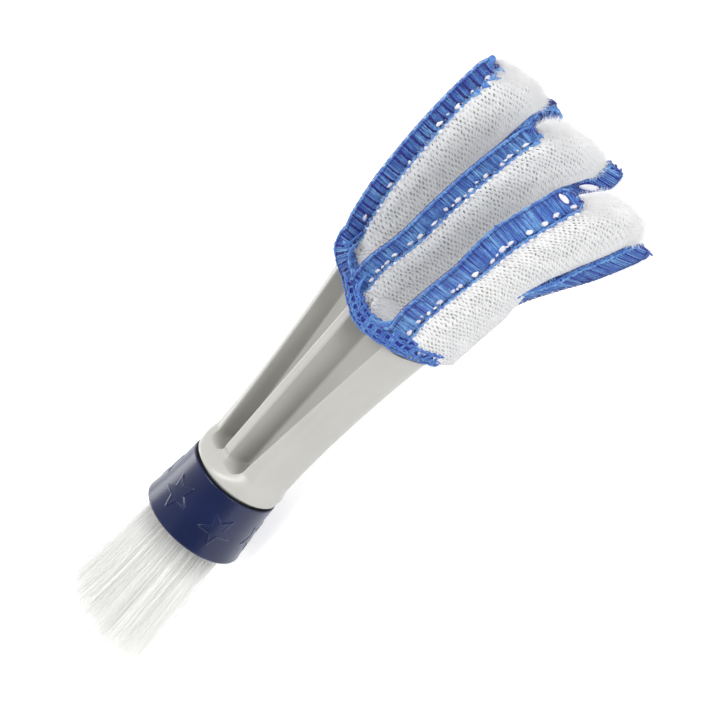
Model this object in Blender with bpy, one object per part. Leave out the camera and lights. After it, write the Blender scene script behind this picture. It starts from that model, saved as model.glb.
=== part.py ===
"""Hand brush for venetian blinds: a round tuft of bristles on one end of a plastic handle, and on the
other a fork of three flat prongs in a knitted cover with three pockets.

The pieces are modelled along the tool's own axis: +X runs from the bristles to the finger tips, +Z is
the front, and x = 0 is where the handle leaves the collar. An empty then lays the tool on its back, on
the rim of its collar and the back corners of its fingers, with the floor at z = 0.
"""

import math
import random

import bmesh
import bpy
from mathutils import Matrix, Vector

MM = 0.001

# Gap between pieces that touch
GAP = 0.3 * MM

# Collar and what it holds
COLLAR_LENGTH = 17.1 * MM
COLLAR_TOP_RADIUS = 11.6 * MM
COLLAR_RIM_RADIUS = 13.1 * MM
COLLAR_WALL = 1.3 * MM
COLLAR_HOLLOW = 0.25 * MM
RIM_ROUNDING = 0.6 * MM
SPIGOT_LENGTH = 7.0 * MM
SPIGOT_WALL = 1.8 * MM
CUP_WALL = 1.0 * MM
CUP_FLOOR = 2.0 * MM
CUP_RECESS = 0.6 * MM

# Bristles: rings of strands on a slice of resin
BRISTLE_REACH = 34.0 * MM
BRISTLE_RINGS = 10
BRISTLE_INSET = 0.12 * MM
BRISTLE_TAPER = 0.8
BRISTLE_RAGGED = 2.5 * MM
BACKING_THICKNESS = 3.0 * MM
FAN_ACROSS = 1.4
FAN_UP = 1.05
FAN_SAG = 0.2 * MM

# Grip of the handle
NECK_RADIUS = 11.4 * MM
WAIST_AT = 8.0 * MM
WAIST_HALF_WIDTH = 10.4 * MM
GRIP_LENGTH = 53.0 * MM
CROTCH_HALF_WIDTH = 15.7 * MM
GRIP_FLARE = 1.6
SHOULDER_LENGTH = 6.0 * MM
GRIP_HALF_DEPTH = 7.3 * MM
GRIP_SQUARENESS = 5.0
CHANNEL_START = 3.2 * MM
CHANNEL_RUN_OUT = 2.0 * MM
CHANNEL_DRAFT = 0.11
WEB_THICKNESS = 2.4 * MM
MIDDLE_PLATE_THICKNESS = 2.4 * MM
MIDDLE_PLATE_HALF_DEPTH = 8.2 * MM
MIDDLE_PLATE_RISE = 0.9 * MM

# Inner faces of the outer plates, measured from the axis
INNER_FACE_AT_CHANNEL = 6.6 * MM
INNER_FACE_AT_CROTCH = 12.4 * MM
INNER_FACE_AT_TIP = 20.2 * MM

# Prongs
PRONG_LENGTH = 50.5 * MM
PRONG_ROOT_DEPTH = 11.0 * MM
PRONG_TIP_DEPTH = 9.0 * MM
PRONG_TIP_ROUNDING = 5.0 * MM
OUTER_PRONG_ROOT_THICKNESS = 2.9 * MM
PRONG_THICKNESS = 2.2 * MM
PRONG_DROP = 6.0 * MM
TIP_LEAN = 0.096

# Knitted cover
CLOTH_THICKNESS = 1.1 * MM
HEM_WIDTH = 4.3 * MM
HEM_THICKNESS = 1.4 * MM
HEM_SQUARENESS = 3.4
HEM_BELOW_CROTCH = 1.2 * MM
FINGER_LENGTH = 54.5 * MM
FOLD_LENGTH = 2.6 * MM
FINGER_FRONT_REACH = 13.2 * MM
FINGER_FRONT_AT_HEM = 11.4 * MM
FINGER_SWELL_LENGTH = 9.0 * MM
FINGER_BACK_REACH = 12.3 * MM
FINGER_BACK_AT_TIP = 20.0 * MM
SLACK_START = 21.0 * MM
SLACK_END = 50.0 * MM
SEAM_WIDTH = 4.2 * MM
SEAM_THICKNESS = 3.2 * MM

# Resting place
REST_FROM_TIP = 4.5 * MM
REST_FLAT_DEPTH = 0.5 * MM

# Mesh fineness
AROUND_COLLAR = 48
AROUND_GRIP = 36
AROUND_FINGER = 16
AROUND_PRONG = 12

# Sizes that follow from the ones above
BORE_RADIUS = COLLAR_TOP_RADIUS - COLLAR_WALL
PLUG_RADIUS = BORE_RADIUS - GAP
CUP_TOP = -(SPIGOT_LENGTH + GAP)
CUP_MOUTH = -(COLLAR_LENGTH - CUP_RECESS)
CUP_BORE_RADIUS = PLUG_RADIUS - CUP_WALL
TUFT_RADIUS = CUP_BORE_RADIUS - GAP
PRONG_TIP = GRIP_LENGTH + PRONG_LENGTH
HEM_START = GRIP_LENGTH - HEM_BELOW_CROTCH
HEM_END = HEM_START + HEM_WIDTH
FINGER_START = HEM_END + GAP
FINGER_TIP = FINGER_START + FINGER_LENGTH

COLOURS = {
    "grey_plastic": ((0.56, 0.56, 0.52), 0.35),
    "navy_plastic": ((0.025, 0.04, 0.13), 0.40),
    "white_plastic": ((0.75, 0.75, 0.72), 0.45),
    "clear_bristle": ((0.80, 0.82, 0.84), 0.35),
    "white_knit": ((0.80, 0.80, 0.80), 0.90),
    "blue_thread": ((0.03, 0.13, 0.50), 0.70),
}


def clear_scene():
    """Remove every object of the start-up scene."""
    for item in list(bpy.data.objects):
        bpy.data.objects.remove(item)


def material(name):
    """Return the named material, made the first time that it is asked for."""
    found = bpy.data.materials.get(name)
    if found:
        return found
    colour, roughness = COLOURS[name]
    made = bpy.data.materials.new(name)
    made.use_nodes = True
    shader = made.node_tree.nodes["Principled BSDF"]
    shader.inputs["Base Color"].default_value = (*colour, 1.0)
    shader.inputs["Roughness"].default_value = roughness
    return made


def mesh_object(name, bm, material_name, parent):
    """Turn a bmesh into a named, smooth-shaded object on the tool's axis."""
    bmesh.ops.recalc_face_normals(bm, faces=bm.faces[:])
    mesh = bpy.data.meshes.new(name)
    bm.to_mesh(mesh)
    bm.free()
    mesh.shade_smooth()
    mesh.set_sharp_from_angle(angle=math.radians(35))
    mesh.materials.append(material(material_name))
    made = bpy.data.objects.new(name, mesh)
    bpy.context.collection.objects.link(made)
    made.parent = parent
    return made


def as_guide(item):
    """Mark an object as a cutter or a joined-in shape, which is no piece of its own."""
    item.hide_render = True
    item.display_type = "WIRE"
    return item


def boolean(item, operation, other):
    """Cut a guide out of an object, or join it to the object."""
    modifier = item.modifiers.new(other.name, "BOOLEAN")
    modifier.operation = operation
    modifier.solver = "EXACT"
    modifier.object = other


def loft(bm, sections):
    """Skin a row of sections, each a ring of as many points, and close both ends."""
    rings = [[bm.verts.new(point) for point in section] for section in sections]
    for ring, following in zip(rings, rings[1:]):
        for i in range(len(ring)):
            j = (i + 1) % len(ring)
            bm.faces.new((ring[i], ring[j], following[j], following[i]))
    bm.faces.new(rings[0])
    bm.faces.new(rings[-1])


def lathe(bm, profile, steps):
    """Turn a closed profile of (x, radius) points round the tool's axis."""
    verts = [bm.verts.new((x, 0.0, -radius)) for x, radius in profile]
    edges = [bm.edges.new((verts[i - 1], verts[i])) for i in range(len(verts))]
    bmesh.ops.spin(bm, geom=verts + edges, cent=(0, 0, 0), axis=(1, 0, 0),
                   angle=math.tau, steps=steps, use_merge=True)
    bmesh.ops.remove_doubles(bm, verts=bm.verts[:], dist=0.001 * MM)


def spread(first, last, count):
    """List count values from first to last, evenly spaced."""
    return [first + (last - first) * i / (count - 1) for i in range(count)]


def ease(t):
    """Go smoothly from 0 to 1 as t does."""
    t = min(max(t, 0.0), 1.0)
    return t * t * (3.0 - 2.0 * t)


def power_point(angle, power):
    """Point at an angle on a rounded square of half-width 1; a power of 2 gives a circle."""
    c, s = math.cos(angle), math.sin(angle)
    return (math.copysign(abs(c) ** (2.0 / power), c), math.copysign(abs(s) ** (2.0 / power), s))


def grip_half_width(x):
    """Half-width of the grip: narrowest at the waist, widest at the crotch."""
    if x < WAIST_AT:
        return NECK_RADIUS + (WAIST_HALF_WIDTH - NECK_RADIUS) * ease(x / WAIST_AT)
    along = (x - WAIST_AT) / (GRIP_LENGTH - WAIST_AT)
    return WAIST_HALF_WIDTH + (CROTCH_HALF_WIDTH - WAIST_HALF_WIDTH) * along ** GRIP_FLARE


def grip_half_depth(x):
    """Half-depth of the grip, which flattens from the round neck over the shoulder."""
    return NECK_RADIUS + (GRIP_HALF_DEPTH - NECK_RADIUS) * ease(x / SHOULDER_LENGTH)


def middle_half_depth(x):
    """Half-depth of the middle plate, which stands proud of the outer two."""
    return MIDDLE_PLATE_HALF_DEPTH + MIDDLE_PLATE_RISE * x / GRIP_LENGTH


def oval(x, half_width, half_depth, power):
    """Ring of points at x on a rounded square of the given half sizes."""
    ring = (power_point(math.tau * i / AROUND_GRIP, power) for i in range(AROUND_GRIP))
    return [(x, half_width * y, half_depth * z) for y, z in ring]


def grip_section(x):
    """Outline of the grip at x without its middle plate: round at the neck, then squarer."""
    power = 2.0 + (GRIP_SQUARENESS - 2.0) * ease(x / WAIST_AT)
    return oval(x, grip_half_width(x), grip_half_depth(x), power)


def hem_section(x, grow):
    """Outline of the hem at x, standing off all three plates by grow."""
    return oval(x, grip_half_width(x) + grow, middle_half_depth(x) + grow, HEM_SQUARENESS)


def inner_face(x):
    """Distance from the axis to an outer plate's inner face: one curve through three places."""
    x0, x1, x2 = CHANNEL_START, GRIP_LENGTH, PRONG_TIP
    y0, y1, y2 = INNER_FACE_AT_CHANNEL, INNER_FACE_AT_CROTCH, INNER_FACE_AT_TIP
    first = (y1 - y0) / (x1 - x0)
    second = ((y2 - y1) / (x2 - x1) - first) / (x2 - x0)
    return y0 + first * (x - x0) + second * (x - x0) * (x - x1)


def along_prong(x):
    """Share of a prong's length that x is past the crotch."""
    return max(x - GRIP_LENGTH, 0.0) / PRONG_LENGTH


def drop(x):
    """Height of a finger's centre line, which bends towards the back."""
    return -PRONG_DROP * along_prong(x) ** 3


def finger_point(x, y, up):
    """Point of a finger that stands up from its centre line at x; sections lean near the tip."""
    return (x + TIP_LEAN * along_prong(x) ** 2 * up, y, drop(x) + up)


def prong_thickness(x, outer):
    """Thickness of a prong; an outer one thins out from the plate that it grows from."""
    if not outer:
        return PRONG_THICKNESS
    along = ease((x - GRIP_LENGTH) / (PRONG_LENGTH / 2))
    return OUTER_PRONG_ROOT_THICKNESS + (PRONG_THICKNESS - OUTER_PRONG_ROOT_THICKNESS) * along


def finger_centre(x, side):
    """Sideways place of a finger's middle: side is 1 for left, 0 for the middle and -1 for right."""
    return side * (inner_face(x) + prong_thickness(x, True) / 2)


def prong_section(x, side, grow=0.0):
    """Outline of a prong at x. An outer prong is flat inside and bulges outwards."""
    depth = (PRONG_ROOT_DEPTH + (PRONG_TIP_DEPTH - PRONG_ROOT_DEPTH) * along_prong(x)) / 2
    past = (x - (PRONG_TIP - PRONG_TIP_ROUNDING)) / (PRONG_TIP_ROUNDING + 2 * grow)
    if past > 0:
        depth *= math.sqrt(max(1.0 - past ** 2, 0.04))
    half = prong_thickness(x, side) / 2 + grow
    ring = []
    for i in range(AROUND_PRONG):
        across, up = power_point(math.tau * (i + 0.5) / AROUND_PRONG, 3.5)
        if side and across * side > 0:
            across = side * math.sqrt(max(1.0 - up ** 2, 0.0))
        ring.append(finger_point(x, finger_centre(x, side) + half * across, (depth + grow) * up))
    return ring


def prong(bm, side, start, grow=0.0):
    """One prong from start to its rounded tip, swollen by grow."""
    round_from = PRONG_TIP - PRONG_TIP_ROUNDING
    stations = spread(start, round_from, 11)
    stations += spread(round_from, PRONG_TIP + grow, 5)[1:]
    loft(bm, [prong_section(x, side, grow) for x in stations])


def channel(bm, side, face):
    """Space between the middle plate and an outer plate, down to the web, on one face of the grip."""
    top = NECK_RADIUS + MM
    sections = []
    floors = [(CHANNEL_START, grip_half_depth(CHANNEL_START) + GAP)]
    floors += [(x, WEB_THICKNESS / 2)
               for x in spread(CHANNEL_START + CHANNEL_RUN_OUT, GRIP_LENGTH + HEM_WIDTH, 8)]
    for x, floor in floors:
        section = []
        for plate, edge, sign in ((MIDDLE_PLATE_THICKNESS / 2, middle_half_depth(x), -1),
                                  (inner_face(x), grip_half_depth(x), 1)):
            low, high = (plate + sign * CHANNEL_DRAFT * (up - edge) for up in (floor, top))
            section += [(low, floor), (high, top)] if sign < 0 else [(high, top), (low, floor)]
        sections.append([(x, side * y, face * up) for y, up in section])
    loft(bm, sections)


def middle_plate(axis):
    """Middle plate of the grip, from inside the neck to the crotch."""
    bm = bmesh.new()
    half = MIDDLE_PLATE_THICKNESS / 2
    loft(bm, [[(x, half, depth), (x, -half, depth), (x, -half, -depth), (x, half, -depth)]
              for x, depth in ((x, middle_half_depth(x)) for x in (MM, GRIP_LENGTH))])
    return as_guide(mesh_object("middle_plate", bm, "grey_plastic", axis))


def handle(axis):
    """Handle: spigot, neck, grip with four open channels, and three prongs, moulded in one."""
    bm = bmesh.new()
    sections = [oval(x, PLUG_RADIUS, PLUG_RADIUS, 2.0) for x in (-SPIGOT_LENGTH, 0.0)]
    stations = spread(0.0, WAIST_AT, 6) + spread(WAIST_AT, GRIP_LENGTH, 11)[1:]
    sections += [grip_section(x) for x in stations]
    loft(bm, sections)
    made = mesh_object("handle", bm, "grey_plastic", axis)
    boolean(made, "UNION", middle_plate(axis))

    bm = bmesh.new()
    for side in (1, -1):
        for face in (1, -1):
            channel(bm, side, face)
    boolean(made, "DIFFERENCE", as_guide(mesh_object("channels", bm, "grey_plastic", axis)))

    bm = bmesh.new()
    core_radius = PLUG_RADIUS - SPIGOT_WALL
    lathe(bm, [(-SPIGOT_LENGTH - MM, 0.0), (-SPIGOT_LENGTH - MM, core_radius),
               (-SPIGOT_WALL, core_radius), (-SPIGOT_WALL, 0.0)], AROUND_GRIP)
    boolean(made, "DIFFERENCE", as_guide(mesh_object("spigot_core", bm, "grey_plastic", axis)))

    bm = bmesh.new()
    for side in (1, 0, -1):
        prong(bm, side, GRIP_LENGTH - HEM_BELOW_CROTCH)
    boolean(made, "UNION", as_guide(mesh_object("prongs", bm, "grey_plastic", axis)))
    return made


def collar_profile():
    """Wall of the collar: a slightly hollow flare outside, a straight bore inside, a rounded rim."""
    top, rim = -GAP, -COLLAR_LENGTH
    round_at = rim + RIM_ROUNDING
    outside = []
    for t in spread(0.0, 1.0, 6):
        flare = COLLAR_TOP_RADIUS + (COLLAR_RIM_RADIUS - COLLAR_TOP_RADIUS) * t
        outside.append((top + (round_at - top) * t, flare - COLLAR_HOLLOW * 4 * t * (1 - t)))
    outside += [(round_at - RIM_ROUNDING * math.sin(a),
                 COLLAR_RIM_RADIUS - RIM_ROUNDING * (1 - math.cos(a)))
                for a in spread(0.0, math.pi / 2, 4)[1:]]
    return outside + [(rim, BORE_RADIUS), (top, BORE_RADIUS)]


def collar(axis):
    """Blue collar that grips the handle's spigot and the bristle cup."""
    bm = bmesh.new()
    lathe(bm, collar_profile(), AROUND_COLLAR)
    return mesh_object("collar", bm, "navy_plastic", axis)


def bristle_cup(axis):
    """Cup inside the collar, closed towards the handle, which holds the root of the tuft."""
    bm = bmesh.new()
    lathe(bm, [(CUP_TOP, 0.0), (CUP_TOP, PLUG_RADIUS), (CUP_MOUTH, PLUG_RADIUS),
               (CUP_MOUTH, CUP_BORE_RADIUS), (CUP_TOP - CUP_FLOOR, CUP_BORE_RADIUS),
               (CUP_TOP - CUP_FLOOR, 0.0)], AROUND_GRIP)
    return mesh_object("bristle_cup", bm, "white_plastic", axis)


def bristle_place(root, t, reach):
    """Place, past the cup's mouth by the share t of its free length, of a strand that fans out."""
    y, z = root
    opened = t ** 1.2
    return Vector((CUP_MOUTH + (-COLLAR_LENGTH - reach - CUP_MOUTH) * t,
                   y * (1 + (FAN_ACROSS - 1) * opened),
                   z * (1 + (FAN_UP - 1) * opened) - FAN_SAG * opened))


def bristle_tuft(axis):
    """Tuft: strands on a pattern of rings, each drawn out of the face of the resin slice."""
    chance = random.Random(7)
    bm = bmesh.new()
    face_x = CUP_TOP - CUP_FLOOR - GAP - BACKING_THICKNESS
    rings = [[bm.verts.new((face_x, 0.0, 0.0))]]
    for k in range(1, BRISTLE_RINGS + 1):
        radius, count = TUFT_RADIUS * k / BRISTLE_RINGS, 6 * k
        rings.append([bm.verts.new((face_x, radius * math.cos(math.tau * i / count),
                                    radius * math.sin(math.tau * i / count))) for i in range(count)])
    roots = []
    for k in range(1, BRISTLE_RINGS + 1):
        outer, inner = rings[k], rings[k - 1]
        for sector in range(6):
            for i in range(k):
                a, b = outer[sector * k + i], outer[(sector * k + i + 1) % len(outer)]
                c = inner[(sector * (k - 1) + i) % len(inner)]
                roots.append(bm.faces.new((a, c, b)))
                if i:
                    previous = inner[(sector * (k - 1) + i - 1) % len(inner)]
                    bm.faces.new((a, previous, c))
    rim = [edge for edge in bm.edges if len(edge.link_faces) == 1]
    walls = bmesh.ops.extrude_edge_only(bm, edges=rim)
    back = [item for item in walls["geom"] if isinstance(item, bmesh.types.BMVert)]
    bmesh.ops.translate(bm, vec=(BACKING_THICKNESS, 0, 0), verts=back)
    bmesh.ops.holes_fill(bm, edges=[e for e in bm.edges if len(e.link_faces) == 1], sides=0)

    bmesh.ops.inset_individual(bm, faces=roots, thickness=BRISTLE_INSET, use_even_offset=True)
    strands = [(face, tuple(face.calc_center_median().yz),
                BRISTLE_REACH - BRISTLE_RAGGED * chance.random()) for face in roots]
    for face, root, reach in strands:
        before = Vector((face_x, *root))
        for t in (0.0, 0.5):
            face = bmesh.ops.extrude_discrete_faces(bm, faces=[face])["faces"][0]
            place = bristle_place(root, t, reach)
            for vert in face.verts:
                vert.co = place + (vert.co - before) * BRISTLE_TAPER
            before = place
        end = bmesh.ops.extrude_discrete_faces(bm, faces=[face])["faces"][0]
        bmesh.ops.pointmerge(bm, verts=end.verts[:], merge_co=bristle_place(root, 1.0, reach))
    return mesh_object("bristle_tuft", bm, "clear_bristle", axis)


def finger_front(x):
    """Reach of a finger's front edge from its centre line, which swells past the hem."""
    swell = ease((x - FINGER_START) / FINGER_SWELL_LENGTH)
    return FINGER_FRONT_AT_HEM + (FINGER_FRONT_REACH - FINGER_FRONT_AT_HEM) * swell


def finger_back(x):
    """Reach of a finger's back edge, where the slack of the cloth hangs down nearer the tip."""
    slack = ease((x - GRIP_LENGTH - SLACK_START) / (SLACK_END - SLACK_START))
    return FINGER_BACK_REACH + (FINGER_BACK_AT_TIP - FINGER_BACK_REACH) * slack


def pocket(axis, name, side):
    """Flat pocket of knitted cloth: open at the hem, folded at the tip, hollow where the prong goes."""
    bm = bmesh.new()
    sections = []
    fold_from = FINGER_TIP - FOLD_LENGTH
    stations = spread(FINGER_START, fold_from, 12) + spread(fold_from, FINGER_TIP, 4)[1:]
    for x in stations:
        ahead = finger_front(x) - SEAM_WIDTH - GAP
        behind = finger_back(x) - SEAM_WIDTH - GAP
        half = prong_thickness(x, side) / 2 + GAP + CLOTH_THICKNESS
        past = max(x - fold_from, 0.0) / FOLD_LENGTH
        half *= math.sqrt(max(1.0 - past ** 2, 0.06))
        ring = []
        for i in range(AROUND_FINGER):
            across, up = power_point(math.tau * (i + 0.5) / AROUND_FINGER, 4.0)
            ring.append(finger_point(x, finger_centre(x, side) + half * across,
                                     up * (ahead if up > 0 else behind)))
        sections.append(ring)
    loft(bm, sections)
    made = mesh_object(name, bm, "white_knit", axis)
    bm = bmesh.new()
    prong(bm, side, FINGER_START - MM, GAP)
    boolean(made, "DIFFERENCE", as_guide(mesh_object(name + "_hollow", bm, "white_knit", axis)))
    return made


def seam_section(x, side, face):
    """Outline of an overlocked seam at x: a rounded bar along the finger's front or back edge."""
    edge = finger_front(x) if face > 0 else finger_back(x)
    middle = face * (edge - SEAM_WIDTH / 2)
    ring = []
    for i in range(8):
        across, up = power_point(math.tau * (i + 0.5) / 8, 3.0)
        ring.append(finger_point(x, finger_centre(x, side) + across * SEAM_THICKNESS / 2,
                                 middle + up * SEAM_WIDTH / 2))
    return ring


def seam(axis, name, side, face, floor):
    """Overlocked seam of a finger. A back seam is cut flat where the tool rests on it."""
    bm = bmesh.new()
    stations = spread(FINGER_START, FINGER_TIP - REST_FROM_TIP - FOLD_LENGTH, 11)
    stations += spread(stations[-1], FINGER_TIP, 4)[1:]
    loft(bm, [seam_section(x, side, face) for x in stations])
    if face < 0:
        point, normal = floor
        cut = bmesh.ops.bisect_plane(bm, geom=bm.verts[:] + bm.edges[:] + bm.faces[:], dist=0.01 * MM,
                                     plane_co=point, plane_no=normal, clear_outer=True)
        rim = [item for item in cut["geom_cut"] if isinstance(item, bmesh.types.BMEdge)]
        bmesh.ops.contextual_create(bm, geom=rim)
    return mesh_object(name, bm, "blue_thread", axis)


def hem(axis):
    """Overlocked hem round the mouth of the cover, a closed band round the grip's end."""
    bm = bmesh.new()
    rings = []
    for grow in (GAP, GAP + HEM_THICKNESS):
        for x in (HEM_START, HEM_END):
            rings.append([bm.verts.new(point) for point in hem_section(x, grow)])
    inner_start, inner_end, outer_start, outer_end = rings
    for first, second in ((inner_start, inner_end), (inner_end, outer_end),
                          (outer_end, outer_start), (outer_start, inner_start)):
        for i in range(AROUND_GRIP):
            j = (i + 1) % AROUND_GRIP
            bm.faces.new((first[i], first[j], second[j], second[i]))
    return mesh_object("mouth_hem", bm, "blue_thread", axis)


def resting_plane():
    """Plane that the tool lies on: through the collar's rim and the back corners of the fingers."""
    rim = Vector((-(COLLAR_LENGTH - RIM_ROUNDING), 0.0, -COLLAR_RIM_RADIUS))
    contact_x = FINGER_TIP - REST_FROM_TIP
    corner = Vector(finger_point(contact_x, 0.0, REST_FLAT_DEPTH - finger_back(contact_x)))
    along = (corner - rim).normalized()
    down = Vector((along.z, 0.0, -along.x))
    return rim, down


def lay_down(axis, pieces, down):
    """Turn the tool onto its back, and centre it over the origin with its lowest point at z = 0."""
    axis.rotation_euler = (0.0, -math.atan2(-down.x, -down.z), 0.0)
    bpy.context.view_layer.update()
    depsgraph = bpy.context.evaluated_depsgraph_get()
    points = []
    for piece in pieces:
        shape = piece.evaluated_get(depsgraph)
        mesh = shape.to_mesh()
        points += [piece.matrix_world @ vert.co for vert in mesh.vertices]
        shape.to_mesh_clear()
    low = Vector([min(point[i] for point in points) for i in range(3)])
    high = Vector([max(point[i] for point in points) for i in range(3)])
    axis.location = (-(low.x + high.x) / 2, -(low.y + high.y) / 2, -low.z)


def main():
    clear_scene()
    tool_axis = bpy.data.objects.new("tool_axis", None)
    cover_axis = bpy.data.objects.new("cover_axis", None)
    for empty in (tool_axis, cover_axis):
        bpy.context.collection.objects.link(empty)
    cover_axis.parent = tool_axis

    floor = resting_plane()
    pieces = [handle(tool_axis), collar(tool_axis), bristle_cup(tool_axis), bristle_tuft(tool_axis)]
    for side, word in ((1, "left"), (0, "middle"), (-1, "right")):
        pieces.append(pocket(cover_axis, word + "_pocket", side))
        pieces.append(seam(cover_axis, word + "_front_seam", side, 1, floor))
        pieces.append(seam(cover_axis, word + "_back_seam", side, -1, floor))
    pieces.append(hem(cover_axis))
    lay_down(tool_axis, pieces, floor[1])


main()
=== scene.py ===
# %% [markdown]
# # A brush for venetian blinds
# The real object is a small hand brush. A fork of three flat fingers, each in a knitted pocket,
# reaches between the slats of a blind, and a round tuft of bristles at the other end sweeps
# corners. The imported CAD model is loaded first. It is the fixed frame: every new piece goes where
# it says.

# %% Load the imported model
import math

import bpy
import numpy as np
from mathutils import Matrix, Vector


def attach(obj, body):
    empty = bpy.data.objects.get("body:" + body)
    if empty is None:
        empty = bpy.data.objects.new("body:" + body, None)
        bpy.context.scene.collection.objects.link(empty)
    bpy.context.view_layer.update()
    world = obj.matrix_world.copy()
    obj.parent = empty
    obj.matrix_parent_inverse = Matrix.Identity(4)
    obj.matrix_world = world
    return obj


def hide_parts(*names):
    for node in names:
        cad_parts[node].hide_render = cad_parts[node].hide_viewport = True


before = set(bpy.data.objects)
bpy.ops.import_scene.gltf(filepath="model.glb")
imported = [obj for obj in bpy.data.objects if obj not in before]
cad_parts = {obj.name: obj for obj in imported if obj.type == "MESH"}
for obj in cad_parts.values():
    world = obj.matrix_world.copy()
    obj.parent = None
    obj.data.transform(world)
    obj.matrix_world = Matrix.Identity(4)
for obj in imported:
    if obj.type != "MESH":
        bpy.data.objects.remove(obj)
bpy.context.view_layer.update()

# %% [markdown]
# ## The brush's own axis
# The brush lies on its back, so its long axis is tilted. It is far easier to model it straight, in
# millimetres, with x along the axis from the collar towards the fingers, y to the left and z up out
# of its front. Each finished piece is then laid down by one matrix, which goes into its mesh. Seen
# from the straight brush, the table is the plane that slopes.

# %% From the straight brush to the one that lies down
MM = 0.001
TILT = math.asin(0.1110099)
LAID_DOWN = (Matrix.Translation((-29.9139 * MM, 0, 14.8507 * MM))
             @ Matrix.Rotation(-TILT, 4, "Y") @ Matrix.Scale(MM, 4))
TABLE_SLOPE, TABLE_UNDER = 0.1117, 14.2
print("tilt in degrees:", round(math.degrees(TILT), 2))

# %% [markdown]
# ## Camera
# The photograph was taken from above the right side with a long lens, so lines hardly converge.
# The camera's place and its three directions are given beside the straight brush, which is how
# they were found, and are laid down with it. A square picture of 724 pixels is 36 mm of sensor.

# %% Put the camera where the photographer stood
LENS, SENSOR, CAMERA_AT = 174.03, 36.0, (341.95, -468.11, 550.77)
VIEW = Matrix(((0.6184, 0.6854, 0.3846), (-0.4027, 0.6966, -0.5938), (-0.6748, 0.2123, 0.7068)))
camera_data = bpy.data.cameras.new("camera")
camera_data.lens, camera_data.sensor_width = LENS, SENSOR
camera = bpy.data.objects.new("camera", camera_data)
bpy.context.scene.collection.objects.link(camera)
camera.matrix_world = Matrix.LocRotScale(
    LAID_DOWN @ Vector(CAMERA_AT), (LAID_DOWN.to_3x3().normalized() @ VIEW).to_quaternion(), None)
bpy.context.scene.camera = camera
print("camera at", [round(c, 3) for c in camera.matrix_world.translation])

# %% [markdown]
# ## Helpers for nodes
# Colours are written as they look on a screen, in hex, and Blender computes with linear light, so
# one function turns one into the other. Another adds a node: plain settings are the node's own,
# its sockets take a value, another node's output, or a node, which stands for its first output,
# and a colour ramp also takes its stops.

# %% Colours and nodes
def linear(code):
    """Turn a hex colour, as seen on a screen, into linear red, green, blue and alpha."""
    parts = [int(code[i:i + 2], 16) / 255 for i in (1, 3, 5)]
    return [p / 12.92 if p <= 0.04045 else ((p + 0.055) / 1.055) ** 2.4 for p in parts] + [1.0]


def plug(node, sockets):
    """Set a node's sockets to values, or link them to other nodes."""
    for name, value in sockets.items():
        if isinstance(value, bpy.types.Node):
            value = value.outputs[0]
        if isinstance(value, bpy.types.NodeSocket):
            node.id_data.links.new(value, node.inputs[name])
        else:
            node.inputs[name].default_value = value


def add_node(tree, kind, sockets=None, stops=(), **settings):
    """Add a node with its settings, its sockets and, on a colour ramp, its stops."""
    node = tree.nodes.new("ShaderNode" + kind)
    for name, value in settings.items():
        setattr(node, name, value)
    for k, (at, code) in enumerate(stops):
        stop = node.color_ramp.elements[k] if k < 2 else node.color_ramp.elements.new(at)
        stop.position, stop.color = at, linear(code)
    plug(node, sockets or {})
    return node


def new_material(name):
    """Start a material, and return it with its nodes and its surface shader."""
    material = bpy.data.materials.new(name)
    material.use_nodes = True
    return material, material.node_tree, material.node_tree.nodes["Principled BSDF"]


# %% [markdown]
# ## Floor and light
# The photograph is a cut-out on white. A white floor lit like the object would turn grey, so the
# floor glows a little, but only for rays that come from the camera, a reflection or clear plastic.
# Its own shading is left in, so the brush keeps its soft shadow.

# %% Floor
FLOOR_GLOW = 0.6
bpy.ops.mesh.primitive_plane_add(size=6, location=(0, 0, -0.0002))
floor = bpy.context.active_object
floor.name = "floor"
paper, tree, shader = new_material("white_paper")
plug(shader, {"Base Color": linear("#F2F2F2"), "Roughness": 0.9, "Specular IOR Level": 0.0})
rays = add_node(tree, "LightPath").outputs
seen = rays["Is Camera Ray"]
for kind in ("Is Glossy Ray", "Is Transmission Ray"):
    seen = add_node(tree, "Math", {0: seen, 1: rays[kind]}, operation="MAXIMUM").outputs[0]
glow = add_node(tree, "Math", {0: seen, 1: FLOOR_GLOW}, operation="MULTIPLY")
both = add_node(tree, "AddShader", {0: shader, 1: add_node(tree, "Emission", {"Strength": glow})})
plug(tree.nodes["Material Output"], {"Surface": both})
floor.data.materials.append(paper)

# %% [markdown]
# A studio tent lights the brush from all round: the world gives that even light, and is brighter
# in reflections, as the tent's walls are, except round the dark opening that the camera looks
# through. One lamp hangs overhead, and two stand low, to the right and to the left, which light
# the brush's sides and leave its channels in shade. The world itself shows as plain white.

# %% World and lamps
TENT_LEVEL, WALL_LEVEL, OPENING_LEVEL = 0.45, 0.85, -0.15
OPENING_WAY = (0.304, -0.594, 0.745)
world = bpy.data.worlds.new("studio_tent")
bpy.context.scene.world = world
world.use_nodes = True
tree = world.node_tree
rays = add_node(tree, "LightPath").outputs
way = add_node(tree, "TexCoord").outputs["Generated"]
facing = add_node(tree, "VectorMath", {0: way, 1: OPENING_WAY}, operation="DOT_PRODUCT")
walls = add_node(tree, "MapRange", {"Value": facing.outputs["Value"], "From Min": -0.1,
                                    "From Max": 0.85, "To Min": WALL_LEVEL,
                                    "To Max": OPENING_LEVEL}, interpolation_type="SMOOTHSTEP")
level = add_node(tree, "Math", {0: rays["Is Glossy Ray"], 1: walls, 2: TENT_LEVEL},
                 operation="MULTIPLY_ADD")
level = add_node(tree, "Math", {0: level, 1: rays["Is Camera Ray"]}, operation="MAXIMUM")
plug(tree.nodes["Background"], {"Color": (1, 1, 1, 1), "Strength": level})

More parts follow.
